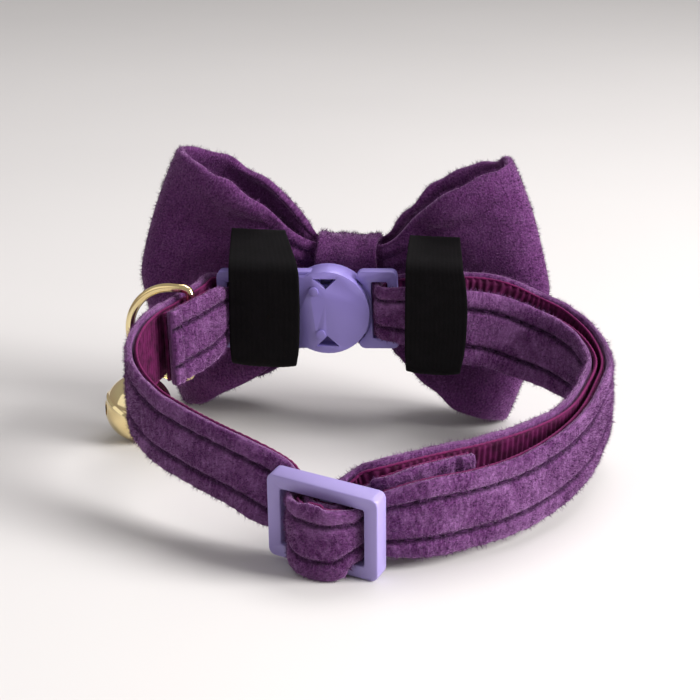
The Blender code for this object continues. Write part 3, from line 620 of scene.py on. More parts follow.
def pile(name, source, count, length, seed, sweep, spread=0.55, keep=None):
    """Short fibres that stand on a cloth's surface and lean along its nap."""
    data = source.data
    data.calc_loop_triangles()
    triangles = np.empty(len(data.loop_triangles) * 3, np.int32)
    data.loop_triangles.foreach_get("vertices", triangles)
    loops = np.empty(len(data.loop_triangles) * 3, np.int32)
    data.loop_triangles.foreach_get("loops", loops)
    verts = places_of(data)
    normals = np.empty(len(data.vertices) * 3, np.float32)
    data.vertices.foreach_get("normal", normals)
    normals = normals.reshape(-1, 3).astype(float)
    uvs = np.empty(len(data.loops) * 2, np.float32)
    data.uv_layers[0].data.foreach_get("uv", uvs)
    uvs = uvs.reshape(-1, 2)[loops].reshape(-1, 3, 2)
    corners = triangles.reshape(-1, 3)
    a, b, c = (verts[corners[:, side]] for side in range(3))
    areas = np.linalg.norm(np.cross(b - a, c - a), axis=1) / 2
    if keep is not None:
        areas = areas * keep((a + b + c) / 3, normals[corners].mean(1))
    random = np.random.default_rng(seed)
    picked = random.choice(len(areas), size=count, p=areas / areas.sum())
    share = random.random((count, 2))
    over = share.sum(1) > 1
    share[over] = 1 - share[over]
    weights = np.stack([1 - share.sum(1), share[:, 0], share[:, 1]], axis=1)
    roots = (weights[:, :, None] * verts[corners[picked]]).sum(1)
    outs = (weights[:, :, None] * normals[corners[picked]]).sum(1)
    outs /= np.linalg.norm(outs, axis=1)[:, None] + 1e-9
    lean = np.asarray(sweep, float)[None] + random.normal(size=(count, 3)) * spread
    ways = outs + lean - outs * (lean * outs).sum(1)[:, None] * 0.5
    ways /= np.linalg.norm(ways, axis=1)[:, None]
    sides = np.cross(ways, random.normal(size=(count, 3)))
    sides /= np.linalg.norm(sides, axis=1)[:, None]
    spots = (weights[:, :, None] * uvs[picked]).sum(1)
    tufts = wave(spots.astype(float), seed, (1.1, 1.9, 3.7))
    lengths = length * random.uniform(0.45, 1.15, (count, 1)) * (1 + 0.35 * tufts[:, None])
    sides *= FIBRE_HALF_WIDTH
    roots -= outs * FIBRE_ROOT_DEPTH
    fibres = np.stack([roots - sides, roots + sides, roots + ways * lengths], axis=1)
    faces = np.arange(count * 3).reshape(-1, 3)
    return new_mesh(name, fibres.reshape(-1, 3), faces, np.repeat(spots, 3, axis=0), smooth=False)


def tube(name, points, radii, sides, closed=False):
    """A tube along points, with a radius for each."""
    points = np.asarray(points, float)
    count = len(points)
    if closed:
        runs = np.roll(points, -1, axis=0) - np.roll(points, 1, axis=0)
    else:
        runs = np.gradient(points, axis=0)
    runs /= np.linalg.norm(runs, axis=1)[:, None]
    side = np.cross(runs[0], (0.3, 0.2, 0.9))
    verts = []
    for point, run, radius in zip(points, runs, np.broadcast_to(radii, count)):
        side = side - run * side.dot(run)
        side /= np.linalg.norm(side)
        other = np.cross(run, side)
        for number in range(sides):
            turn = 2 * math.pi * number / sides
            verts.append(point + radius * (side * math.cos(turn) + other * math.sin(turn)))
    return new_mesh(name, verts, tube_faces(count, sides, closed))


# Materials


def effect(name, inputs, outputs):
    """A shader node group with named sockets, empty but for its two ends."""
    group = bpy.data.node_groups.new(name, "ShaderNodeTree")
    for label, kind, default in inputs:
        made = group.interface.new_socket(label, in_out="INPUT", socket_type=kind)
        if default is not None:
            made.default_value = default
    for label, kind in outputs:
        group.interface.new_socket(label, in_out="OUTPUT", socket_type=kind)
    return group, Tree(group), group.nodes.new("NodeGroupInput"), group.nodes.new("NodeGroupOutput")


class Tree:
    """Short ways to add and join nodes."""

    def __init__(self, tree):
        self.tree = tree

    def feed(self, node, inputs):
        """Gives a node's inputs their values, or joins them to other nodes' sockets."""
        for key, value in inputs.items():
            socket = node.inputs[key]
            if isinstance(value, bpy.types.NodeSocket):
                self.tree.links.new(value, socket)
            else:
                socket.default_value = value
        return node

    def add(self, kind, inputs=None, **settings):
        node = self.tree.nodes.new(kind)
        for key, value in settings.items():
            setattr(node, key, value)
        return self.feed(node, inputs or {})

    def math(self, operation, a, b=0.0):
        return self.add("ShaderNodeMath", {0: a, 1: b}, operation=operation).outputs[0]

    def ramp(self, value, low, high):
        """Value from low to high, as 0 to 1."""
        inputs = {"Value": value, "From Min": low, "From Max": high}
        return self.add("ShaderNodeMapRange", inputs, clamp=True).outputs[0]

    def mix(self, factor, a, b):
        return self.add("ShaderNodeMix", {0: factor, 6: a, 7: b}, data_type="RGBA").outputs[2]


def rgba(colour):
    return (*colour, 1.0)


def nap_sheen_effect():
    """Streaks and patches of a pile that is brushed here and there, given as painted sheen, with painted
    shade between the tufts and a height for the bump.
    """
    group, tree, start, end = effect(
        "Nap painted sheen and shade",
        (
            ("Place", "NodeSocketVector", None),
            ("Streak", "NodeSocketFloat", 1.0),
            ("Patch", "NodeSocketFloat", 1.0),
        ),
        (("Painted sheen", "NodeSocketFloat"), ("Shade", "NodeSocketFloat"), ("Height", "NodeSocketFloat")),
    )
    place = start.outputs["Place"]
    squeezed = tree.add("ShaderNodeMapping", {"Vector": place, "Scale": (1.5, 0.5, 1.0)}).outputs[0]
    noise = "ShaderNodeTexNoise"
    streaks = tree.add(noise, {"Vector": squeezed, "Scale": 1.3, "Detail": 6.0, "Roughness": 0.65})
    patches = tree.add(noise, {"Vector": place, "Scale": 0.16, "Detail": 4.0, "Distortion": 0.8})
    tufts = tree.add(noise, {"Vector": place, "Scale": 3.4, "Detail": 4.0, "Roughness": 0.7})
    streak = tree.math("MULTIPLY", tree.ramp(streaks.outputs[0], 0.46, 0.74), start.outputs["Streak"])
    patch = tree.math("MULTIPLY", tree.ramp(patches.outputs[0], 0.46, 0.78), start.outputs["Patch"])
    # Painted light and shade: the high tufts and the brushed streaks and patches give the painted sheen, the
    # low tufts give the painted shade
    lit = tree.ramp(tufts.outputs[0], 0.52, 0.74)
    brushed = tree.math("MULTIPLY", tree.math("ADD", streak, patch), 0.50)
    painted_sheen = tree.math("ADD", tree.math("MULTIPLY", lit, 0.40), brushed)
    shade = tree.ramp(tufts.outputs[0], 0.50, 0.34)
    combed = tree.math("MULTIPLY", streaks.outputs[0], 0.5)
    height = tree.math("ADD", tree.math("MULTIPLY", tufts.outputs[0], 0.7), combed)
    tree.feed(end, {"Painted sheen": painted_sheen, "Shade": shade, "Height": height})
    return group


def speckle_effect():
    """Slow drift of a colour over moulded plastic, plating or thread, and a fine grain."""
    group, tree, start, end = effect(
        "Colour drift",
        (
            ("Colour", "NodeSocketColor", (0.5, 0.5, 0.5, 1.0)),
            ("Other", "NodeSocketColor", (0.5, 0.5, 0.5, 1.0)),
            ("Place", "NodeSocketVector", None),
            ("Scale", "NodeSocketFloat", 200.0),
        ),
        (("Colour", "NodeSocketColor"), ("Grain", "NodeSocketFloat")),
    )
    place, scale = start.outputs["Place"], start.outputs["Scale"]
    drift = tree.add("ShaderNodeTexNoise", {"Vector": place, "Scale": scale, "Detail": 3.0})
    fine = tree.math("MULTIPLY", scale, 9.0)
    grain = tree.add("ShaderNodeTexNoise", {"Vector": place, "Scale": fine, "Detail": 2.0})
    share = tree.ramp(drift.outputs[0], 0.35, 0.68)
    colour = tree.mix(share, start.outputs["Colour"], start.outputs["Other"])
    tree.feed(end, {"Colour": colour, "Grain": grain.outputs[0]})
    return group


def drifting(tree, colour, other, scale):
    """The drift from one colour to another, by place in space."""
    place = tree.add("ShaderNodeTexCoord").outputs["Object"]
    inputs = {"Colour": rgba(colour), "Other": rgba(other), "Place": place, "Scale": scale}
    return tree.add("ShaderNodeGroup", inputs, node_tree=shared("Colour drift", speckle_effect))


def grained(tree, drift, low, high):
    """Roughness that goes from low to high with the drift's grain."""
    inputs = {"Value": drift.outputs["Grain"], "To Min": low, "To Max": high}
    return tree.add("ShaderNodeMapRange", inputs).outputs[0]


def shared(name, make):
    return bpy.data.node_groups.get(name) or make()


def new_material(name):
    made = bpy.data.materials.get(name)
    if made:
        return made, None, None
    made = bpy.data.materials.new(name)
    made.use_nodes = True
    return made, Tree(made.node_tree), made.node_tree.nodes["Principled BSDF"]


def velvet_finish(name="Purple velvet", streak=1.0, patch=1.0, groove=None):
    made, tree, shader = new_material(name)
    if tree is None:
        return made
    look = bpy.context.scene.collar_velvet
    place = tree.add("ShaderNodeUVMap", uv_map="Cloth").outputs[0]
    inputs = {"Place": place, "Streak": streak, "Patch": patch}
    nap = tree.add("ShaderNodeGroup", inputs, node_tree=shared("Nap painted sheen and shade", nap_sheen_effect))
    # Painted shade deep in the pile, then painted sheen over it
    base = tree.mix(nap.outputs["Shade"], rgba(look.colour), rgba(look.shade))
    colour = tree.mix(tree.math("MINIMUM", nap.outputs["Painted sheen"], 1.0), base, rgba(look.painted_sheen))
    # Painted shade along the stitch grooves: the colour darkens towards a deeper pile shade there
    if groove:
        across = tree.add("ShaderNodeSeparateXYZ", {0: place}).outputs[1]
        away = tree.math("ABSOLUTE", tree.math("SUBTRACT", tree.math("ABSOLUTE", across), groove / MM))
        colour = tree.mix(tree.ramp(away, 0.60, 0.05), colour, rgba(tuple(part * 0.6 for part in look.shade)))
    bump = tree.add("ShaderNodeBump", {"Height": nap.outputs["Height"], "Strength": 0.8, "Distance": 0.0003})
    tree.feed(shader, {
        "Base Color": colour,
        "Normal": bump.outputs[0],
        "Roughness": 0.92,
        "Specular IOR Level": 0.15,
        "Sheen Weight": 0.75,
        "Sheen Roughness": 0.30,
        "Sheen Tint": (0.80, 0.50, 0.84, 1.0),
    })
    return made


def bow_finish():
    return velvet_finish("Bow velvet", streak=0.32, patch=0.2)


def cloth_finish(name, colour, other, scale, roughness, sheen, sheen_tint):
    """A woven thread or elastic, by place in space."""
    made, tree, shader = new_material(name)
    if tree is None:
        return made
    drift = drifting(tree, colour, other, scale)
    bump = tree.add("ShaderNodeBump", {"Height": drift.outputs["Grain"], "Strength": 0.3, "Distance": 0.0001})
    tree.feed(shader, {
        "Base Color": drift.outputs["Colour"],
        "Normal": bump.outputs[0],
        "Roughness": roughness,
        "Specular IOR Level": 0.12,
        "Sheen Weight": sheen,
        "Sheen Roughness": 0.4,
        "Sheen Tint": rgba(sheen_tint),
    })
    return made


def plastic_finish(name, colour, other, roughness, coat, through):
    """Moulded plastic that lets a little light in."""
    made, tree, shader = new_material(name)
    if tree is None:
        return made
    drift = drifting(tree, colour, other, 90.0)
    tree.feed(shader, {
        "Base Color": drift.outputs["Colour"],
        "Roughness": grained(tree, drift, roughness - 0.02, roughness + 0.02),
        "Coat Weight": coat,
        "Coat Roughness": 0.12,
        "Subsurface Weight": through,
        "Subsurface Radius": (0.9, 0.8, 1.0),
        "Subsurface Scale": 0.0008,
    })
    return made


def gold_finish():
    made, tree, shader = new_material("Pale gold plating")
    if tree is None:
        return made
    look = bpy.context.scene.collar_trim
    warm = tuple(part * share for part, share in zip(look.gold, (1.0, 0.93, 0.82)))
    drift = drifting(tree, look.gold, warm, 160.0)
    tree.feed(shader, {
        "Base Color": drift.outputs["Colour"],
        "Roughness": grained(tree, drift, 0.06, 0.15),
        "Metallic": 1.0,
    })
    return made


# Strap


def strap_profile(width, inset):
    """Section of the velvet, across and out, with a dip in its face at each stitch line."""
    half = width / 2
    low, high = HALF_STRAP - VELVET_THICK, HALF_STRAP
    across = np.linspace(-half + 0.25 * MM, half - 0.25 * MM, FACE_POINTS)
    share = np.abs(across)
    dip = np.exp(-(((share - (half - inset)) / (0.42 * MM)) ** 2))
    crown = 0.12 * MM * (1 - (share / half) ** 2)
    outs = high - 0.12 * MM + crown - 0.50 * MM * dip
    edge = np.clip((half - share) / (0.9 * MM), 0, 1)
    outs -= 0.22 * MM * (1 - edge) ** 2
    face = list(zip(across, outs))
    middle = (low + high) / 2
    right = [(half - 0.05 * MM, high - 0.32 * MM), (half, middle), (half - 0.08 * MM, low + 0.1 * MM)]
    back = [(half - 0.4 * MM, low), (0.0, low), (-half + 0.4 * MM, low)]
    left = [(-across, out) for across, out in right[::-1]]
    return face + right + back + left


def build_strap():
    look = bpy.context.scene.collar_velvet
    step = 0.0004
    middles, normals, ups, widths, way = strap_stations(step)
    count = len(middles)
    total = way[-1]
    verts, uvs = [], []
    length = way / MM
    pucker = wave(np.stack([length, length * 0], axis=1), 5, (2.0, 3.1, 5.3))
    drift = wave(np.stack([length, length * 0], axis=1), 9, (9.0, 17.0))
    for number in range(count):
        end = min(way[number], total - way[number])
        hem = math.exp(-(((end - 0.0026) / 0.00035) ** 2))
        rolled = 0.25 * MM * min(1, max(0, (0.0024 - end) / 0.0006))
        width = widths[number] + pucker[number] * 0.10 * MM
        profile = strap_profile(width, look.stitch_inset * widths[number] / STRAP_WIDTH)
        for across, out in profile:
            edge = abs(across) / (width / 2)
            lift = 0.0
            if out > 0:
                wrinkle = math.sin(length[number] * 2.2 + 3 * pucker[number] + across / MM * 0.7)
                lift = 0.05 * MM * wrinkle * (0.4 + edge) + 0.05 * MM * drift[number]
                lift += rolled - 0.45 * MM * hem
            verts.append(middles[number] + normals[number] * (out + lift) + ups[number] * across)
            uvs.append((length[number], across / widths[number] * STRAP_WIDTH / MM + 20 * (out < 0)))
    strap = new_mesh("strap_cloth", verts, tube_faces(count, len(profile)), uvs)
    bm = bmesh.new()
    bm.from_mesh(strap.data)
    bmesh.ops.recalc_face_normals(bm, faces=bm.faces)
    bm.to_mesh(strap.data)
    bm.free()
    velvet = velvet_finish(groove=STRAP_WIDTH / 2 - look.stitch_inset)
    finished(strap, velvet, "velvet", "velvet_strap")

    def outside(centres, directions):
        """Fibres stand on the face and on the edges, and not on the back."""
        nearest = np.zeros(len(centres))
        for part in range(0, len(centres), 4000):
            gaps = ((centres[part : part + 4000, None] - middles[None, ::4]) ** 2).sum(2)
            nearest[part : part + 4000] = gaps.argmin(1) * 4
        nearest = nearest.astype(int)
        facing = (directions * normals[nearest]).sum(1)
        return np.where(facing > -0.35, 1.0, 0.0)

    fibres = pile("strap_pile", strap, look.strap_fibres, look.pile, 11, (0.0, -0.05, 0.10), keep=outside)
    finished(fibres, velvet, "velvet")
    build_stitches(middles, normals, ups, widths, way)


def build_stitches(middles, normals, ups, widths, way):
    """Two rows of thread along the strap, and a row across at its inner end."""
    look = bpy.context.scene.collar_velvet
    verts, faces = [], []

    def thread(start, stop, out, radius):
        """A short thread that dives into the cloth at both ends."""
        rings, around_count = 5, 6
        run = stop - start
        size = np.linalg.norm(run)
        run = run / size
        side = np.cross(run, out)
        first = len(verts)
        for ring in range(rings):
            share = ring / (rings - 1)
            bulge = math.sin(math.pi * (0.12 + 0.76 * share))
            middle = start + run * size * share + out * radius * (bulge - 0.75)
            for number in range(around_count):
                turn = 2 * math.pi * number / around_count
                verts.append(middle + radius * bulge * (side * math.cos(turn) + out * math.sin(turn)))
        for ring in range(rings - 1):
            for number in range(around_count):
                after = (number + 1) % around_count
                a = first + ring * around_count
                faces.append((a + number, a + after, a + around_count + after, a + around_count + number))

    length = look.stitch_pitch * 0.78
    places = np.arange(0.003, way[-1] - 0.003, look.stitch_pitch)
    for place in places:
        for side in (-1, 1):
            ends = []
            for at in (place, place + length):
                index = min(int(np.searchsorted(way, at)), len(way) - 1)
                inset = widths[index] / 2 - look.stitch_inset * widths[index] / STRAP_WIDTH
                out = HALF_STRAP - 0.46 * MM
                ends.append(middles[index] + normals[index] * out + ups[index] * side * inset)
            thread(ends[0], ends[1], normals[index], 0.16 * MM)
    for across in np.arange(-4.4, 4.6, 1.5):
        index = int(np.searchsorted(way, way[-1] - 0.0026))
        low = middles[index] + normals[index] * (HALF_STRAP - 0.35 * MM) + ups[index] * across * MM
        thread(low, low + ups[index] * 1.1 * MM, normals[index], 0.16 * MM)
    stitches = new_mesh("strap_stitches", verts, faces)
    look_thread = cloth_finish(
        "Purple thread", (0.035, 0.008, 0.045), (0.075, 0.018, 0.085), 900.0, 0.7, 0.2, (0.6, 0.35, 0.7)
    )
    finished(stitches, look_thread, "velvet")


# Webbing


def build_webbing():
    look = bpy.context.scene.collar_webbing
    middles, normals, ups, widths, way = strap_stations(look.rib / 6)
    count = len(middles)
    high = -HALF_STRAP + WEBBING_THICK
    verts, uvs = [], []
    shares = np.linspace(-1, 1, 13)
    for number in range(count):
        half = widths[number] / 2 - WEBBING_MARGIN
        phase = way[number] / look.rib
        rib = 0.5 - 0.5 * math.cos(2 * math.pi * phase)
        row = int(phase)
        for share in shares:
            plait = 0.5 + 0.5 * math.cos(math.pi * (share * half / MM / 0.55 + row))
            out = -HALF_STRAP + 0.02 * MM + 0.24 * MM * (1 - rib) + 0.05 * MM * plait
            verts.append(middles[number] + normals[number] * out + ups[number] * half * share)
            uvs.append((way[number] / MM, share * half / MM))
        for share in shares[::-1]:
            verts.append(middles[number] + normals[number] * high + ups[number] * half * share)
            uvs.append((way[number] / MM, share * half / MM))
    webbing = new_mesh("webbing_ribs", verts, tube_faces(count, 2 * len(shares)), uvs)
    darker = tuple(part * 0.35 for part in look.colour)
    ribs = cloth_finish("Ribbed webbing", look.colour, darker, 700.0, 0.7, 0.08, (0.9, 0.4, 0.75))
    finished(webbing, ribs, "webbing", "webbing")
    edge = cloth_finish("Selvedge thread", look.edge, look.colour, 900.0, 0.65, 0.12, (0.95, 0.4, 0.8))
    for name, side in (("selvedge_top", 1), ("selvedge_low", -1)):
        beads = 0.5 + 0.5 * np.cos(2 * math.pi * way / look.rib)
        out = -HALF_STRAP + 0.18 * MM
        place = (widths / 2 - WEBBING_MARGIN + 0.05 * MM) * side
        points = middles + normals * out + ups * place[:, None]
        cord = tube(name, points[::2], (0.13 * MM + 0.08 * MM * beads)[::2], 6)
        finished(cord, edge, "webbing")


# Bow


def bow_point(panel, out, gap, rise_near, rise_far, tall):
    """A point of the bow's middle surface. Panel is -1 on the buckle's side and 1 on the far side."""
    side = 1 if out >= 0 else -1
    out = abs(out)
    rise = rise_near if panel < 0 else rise_far
    knot_half = KNOT_HEIGHT / 2 - KNOT_WALL - 2 * CLEARANCE
    height = tall * (knot_half + (BOW_HEIGHT / 2 - knot_half) * rise) - KNOT_DROP * (1 - rise)
    reach = (WING_LEFT if side < 0 else WING_RIGHT) - BOW_WALL / 2
    x = side * out * reach * (1 - FOLD_TAPER * out * abs(tall) ** 1.4)
    depth = gap * BOW_PUFF
    loose = min(1, max(0, (out - BOW_SECTIONS[2][0]) / 0.10)) * (1 - out) ** 0.8
    ripple = PLEAT_DEPTH * loose * math.cos(math.pi * PLEATS * tall)
    if panel < 0:
        flare = abs(height) / (ELASTIC_HEIGHT / 2 + CLEARANCE) - 1
        hollow = min(depth, elastic_back() - CLEARANCE - BOW_WALL / 2)
        depth = hollow + (depth * 1.15 - hollow) * min(1, max(0, flare / 0.5))
    else:
        depth = depth * (1 + 0.25 * loose * (1 - tall * tall)) + ripple
    return (x, panel * depth, height)


def elastic_back():
    """Distance from the bow's middle to the face that the knot band and the elastics share."""
    return BOW_SECTIONS[1][1] * BOW_PUFF + BOW_WALL / 2 + CLEARANCE + KNOT_WALL


def smooth_sections(steps):
    """The bow's sections made closer, with soft turns between them."""
    table = np.array(BOW_SECTIONS)
    way = np.concatenate([[0], np.cumsum(np.hypot(np.diff(table[:, 0]) * 7, np.diff(table[:, 1])))])
    at = np.linspace(0, way[-1], steps)
    rows = np.stack([np.interp(at, way, table[:, column]) for column in range(4)], axis=1)
    for _ in range(2):
        rows[1:-1] = (rows[:-2] + 2 * rows[1:-1] + rows[2:]) / 4
    rows[0, 0], rows[-1, 0] = 0.0, 1.0
    return rows


def bow_middle_height():
    low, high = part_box("bow")
    return (low.z + high.z) / 2


def swell(obj, held):
    """Cloth simulation of a padded piece: its free parts fill out a little and crease where they are held."""
    data = obj.data
    start = places_of(data)
    data.vertices.foreach_set("co", (start * SWELL_SCALE).ravel())
    group = obj.vertex_groups.new(name="Held")
    for index, weight in enumerate(held):
        if weight > 0.01:
            group.add([index], float(weight), "REPLACE")
    cloth = obj.modifiers.new("Cloth", "CLOTH")
    cloth.settings.quality = 6
    cloth.settings.mass = 0.3
    cloth.settings.tension_stiffness = 12
    cloth.settings.compression_stiffness = 6
    cloth.settings.shear_stiffness = 4
    cloth.settings.bending_stiffness = 0.4
    cloth.settings.use_pressure = True
    cloth.settings.uniform_pressure_force = SWELL_PRESSURE
    cloth.settings.vertex_group_mass = "Held"
    cloth.settings.effector_weights.gravity = 0
    cloth.collision_settings.use_collision = False
    cloth.point_cache.frame_start = 1
    cloth.point_cache.frame_end = SWELL_FRAMES
    scene = bpy.context.scene
    for number in range(1, SWELL_FRAMES + 1):
        scene.frame_set(number)
    shown = obj.evaluated_get(bpy.context.evaluated_depsgraph_get())
    moved = places_of(shown.data) / SWELL_SCALE
    obj.modifiers.remove(cloth)
    obj.vertex_groups.remove(group)
    scene.frame_set(1)
    change = moved - start
    size = np.linalg.norm(change, axis=1)
    change *= (np.minimum(size, SWELL_LIMIT) / np.maximum(size, 1e-9))[:, None]
    data.vertices.foreach_set("co", (start + change).ravel())
    data.update()


def build_bow():
    look = bpy.context.scene.collar_velvet
    half = smooth_sections(30)
    rows = 44
    talls = np.linspace(-1, 1, rows)
    inner = [tuple(row) for row in half[:-1]]
    mirrored = [(-row[0], *row[1:]) for row in inner[1:]]
    tip = tuple(half[-1][1:])
    ring = [(-1, section) for section in mirrored[::-1] + inner + [(1.0, *tip)]]
    ring += [(1, section) for section in inner[::-1] + mirrored + [(-1.0, *tip)]]
    shift = home_shift()
    centre = np.array((BOW_X + shift.x, BOW_Y + shift.y, bow_middle_height()))
    verts = []
    outs = []
    for panel, section in ring:
        for tall in talls:
            verts.append(bow_point(panel, *section, tall))
            outs.append((abs(section[0]), panel, tall))
    verts = np.array(verts)
    outs = np.array(outs)
    columns = len(ring)
    grid = verts.reshape(columns, rows, 3)
    reach = np.abs(grid[:, :, 0]).max(0)
    for _ in range(2):
        grid = (np.roll(grid, 1, axis=0) + 2 * grid + np.roll(grid, -1, axis=0)) / 4
    grid[:, :, 0] *= (reach / np.abs(grid[:, :, 0]).max(0))[None, :]
    way = np.cumsum(np.linalg.norm(np.roll(grid[:, rows // 2], -1, axis=0) - grid[:, rows // 2], axis=1))
    along = np.repeat(way, rows).reshape(columns, rows) / MM
    places = np.stack([along.ravel(), grid[:, :, 2].ravel() / MM], axis=1)
    out = outs[:, 0].reshape(columns, rows)
    panel = outs[:, 1].reshape(columns, rows)
    loose = np.clip((out - 0.22) / 0.14, 0, 1) * np.clip((1.04 - out) / 0.4, 0, 1)
    tall = np.broadcast_to(talls[None, :], out.shape)
    near_knot = np.clip((out - 0.17) / 0.05, 0, 1) * np.clip((0.80 - out) / 0.5, 0, 1)
    pleat = np.cos(math.pi * 7.0 * np.abs(tall) ** 1.2 + 0.8 * np.sign(grid[:, :, 0]) + 2.2 * out)
    folds = 0.50 * MM * near_knot * pleat * (0.35 + 0.65 * np.abs(tall) ** 1.5)
    folds = folds + 0.30 * MM * loose * wave(places, 21, (9.0, 14.0)).reshape(columns, rows)
    runs = np.roll(grid, -1, axis=0) - np.roll(grid, 1, axis=0)
    lifts = np.gradient(grid, axis=1)
    normal = np.cross(runs, lifts)
    normal /= np.linalg.norm(normal, axis=2)[:, :, None] + 1e-12
    grid = grid + normal * folds[:, :, None]
    open_part = np.sin(math.pi * np.clip((out - 0.25) / 0.75, 0, 1)) ** 0.8 * (panel < 0)
    rim = np.clip((np.abs(tall) - 0.62) / 0.30, 0, 1) ** 2
    hollow = np.clip(1 - (tall / 0.62) ** 2, 0, 1)
    grid[:, :, 1] += open_part * (1.5 * MM * hollow - 1.1 * MM * rim)
    edge = np.abs(talls)[None, :] ** 8
    grid[:, :, 2] += edge * 0.35 * MM * wave(places, 33, (6.0, 11.0)).reshape(columns, rows)
    limit = elastic_back() - CLEARANCE - BOW_WALL / 2
    behind = (panel < 0) & (np.abs(grid[:, :, 2]) < ELASTIC_HEIGHT / 2 + 0.6 * MM)
    grid[:, :, 1] = np.where(behind, np.maximum(grid[:, :, 1], -limit), grid[:, :, 1])
    points = grid.reshape(-1, 3)
    sheet = new_mesh("bow_sheet", points, grid_faces(columns, rows, False, True), places)
    wall = walled(sheet, BOW_WALL * 0.86)
    wall.use_even_offset = True
    wall.thickness_clamp = 0.6
    bow = baked(sheet, "bow_cloth")
    verts = places_of(bow.data)
    near = (verts[:, 1] < 0) & (np.abs(verts[:, 2]) < ELASTIC_HEIGHT / 2 + 1.5 * MM)
    held = np.where(near | (np.abs(verts[:, 0]) < KNOT_WIDTH / 2 + 0.8 * MM), 1.0, 0.0)
    fold = np.clip(np.abs(verts[:, 0]) / WING_RIGHT / 0.2 - 3.75, 0, 1)
    swell(bow, np.maximum(held, 0.5 * fold))
    subdivided(bow)
    soft = baked(bow, "bow_velvet")
    places = places_of(soft.data)
    for side, wing in ((-1, WING_LEFT), (1, WING_RIGHT)):
        this = places[:, 0] * side > 0
        places[this, 0] *= wing / np.abs(places[this, 0]).max()
    soft.data.vertices.foreach_set("co", places.ravel())
    soft.data.transform(Matrix.Translation(centre))
    soft.data.shade_smooth()
    velvet = bow_finish()
    finished(soft, velvet, "velvet", "bow")
    fibres = pile("bow_pile", soft, look.bow_fibres, look.pile, 12, (0.0, -0.05, 0.12))
    finished(fibres, velvet, "velvet")


def build_knot():
    """The band that draws the bow in: a soft loop with a few lengthwise creases."""
    low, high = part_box("knot_band")
    centre = (low + high) / 2
    depth, height = high.y - low.y, high.z - low.z
    count, columns = 72, 25
    verts, uvs = [], []
    corner = KNOT_WALL * 2.6
    outline = rounded_loop(depth / 2 - KNOT_WALL / 2, height / 2 - KNOT_WALL / 2, corner, count)
    way = 0.0
    before = outline[-1][0]
    for place, normal in outline:
        way += math.dist(place, before)
        before = place
        for column in range(columns):
            share = 2 * column / (columns - 1) - 1
            crease = 0.10 * MM * math.cos(share * 6.5 + 0.9 * math.sin(way / MM * 0.35))
            crown = -0.30 * MM * (1 - share * share) * abs(normal[1]) + crease * (1 - share**4)
            half = KNOT_WIDTH / 2 * (1 - 0.03 * math.sin(way / MM * 0.9))
            out = crown - 0.10 * MM
            verts.append(
                (
                    centre.x + share * half,
                    centre.y + place[0] + normal[0] * out,
                    centre.z + place[1] + normal[1] * out,
                )
            )
            uvs.append((way / MM, share * half / MM))
    sheet = new_mesh("knot_sheet", verts, grid_faces(count, columns, False, True), uvs)
    walled(sheet, KNOT_WALL * 0.8)
    subdivided(sheet)
    knot = baked(sheet, "knot_velvet")
    knot.data.shade_smooth()
    velvet = bow_finish()
    finished(knot, velvet, "velvet", "knot_band")
    look = bpy.context.scene.collar_velvet
    fibres = pile("knot_pile", knot, look.bow_fibres // 8, look.pile, 13, (0.0, -0.05, 0.12))
    finished(fibres, velvet, "velvet")


def rounded_loop(half_width, half_height, corner, count):
    """Even points round a rectangle with round corners, each with its outward normal."""
    dense = []
    for quarter in range(4):
        cx = (half_width - corner) * (1 if quarter in (0, 3) else -1)
        cy = (half_height - corner) * (1 if quarter in (0, 1) else -1)
        for step in range(13):
            angle = math.radians(90 * (quarter + step / 12))
            dense.append((cx + corner * math.cos(angle), cy + corner * math.sin(angle), angle))
    dense.append((*dense[0][:2], dense[0][2] + 2 * math.pi))
    dense = np.array(dense)
    way = np.concatenate([[0], np.cumsum(np.linalg.norm(np.diff(dense[:, :2], axis=0), axis=1))])
    at = np.linspace(0, way[-1], count, endpoint=False)
    made = []
    for place in at:
        x, y, angle = (np.interp(place, way, dense[:, column]) for column in range(3))
        made.append(((float(x), float(y)), (math.cos(angle), math.sin(angle))))
    return made


# Elastic bands


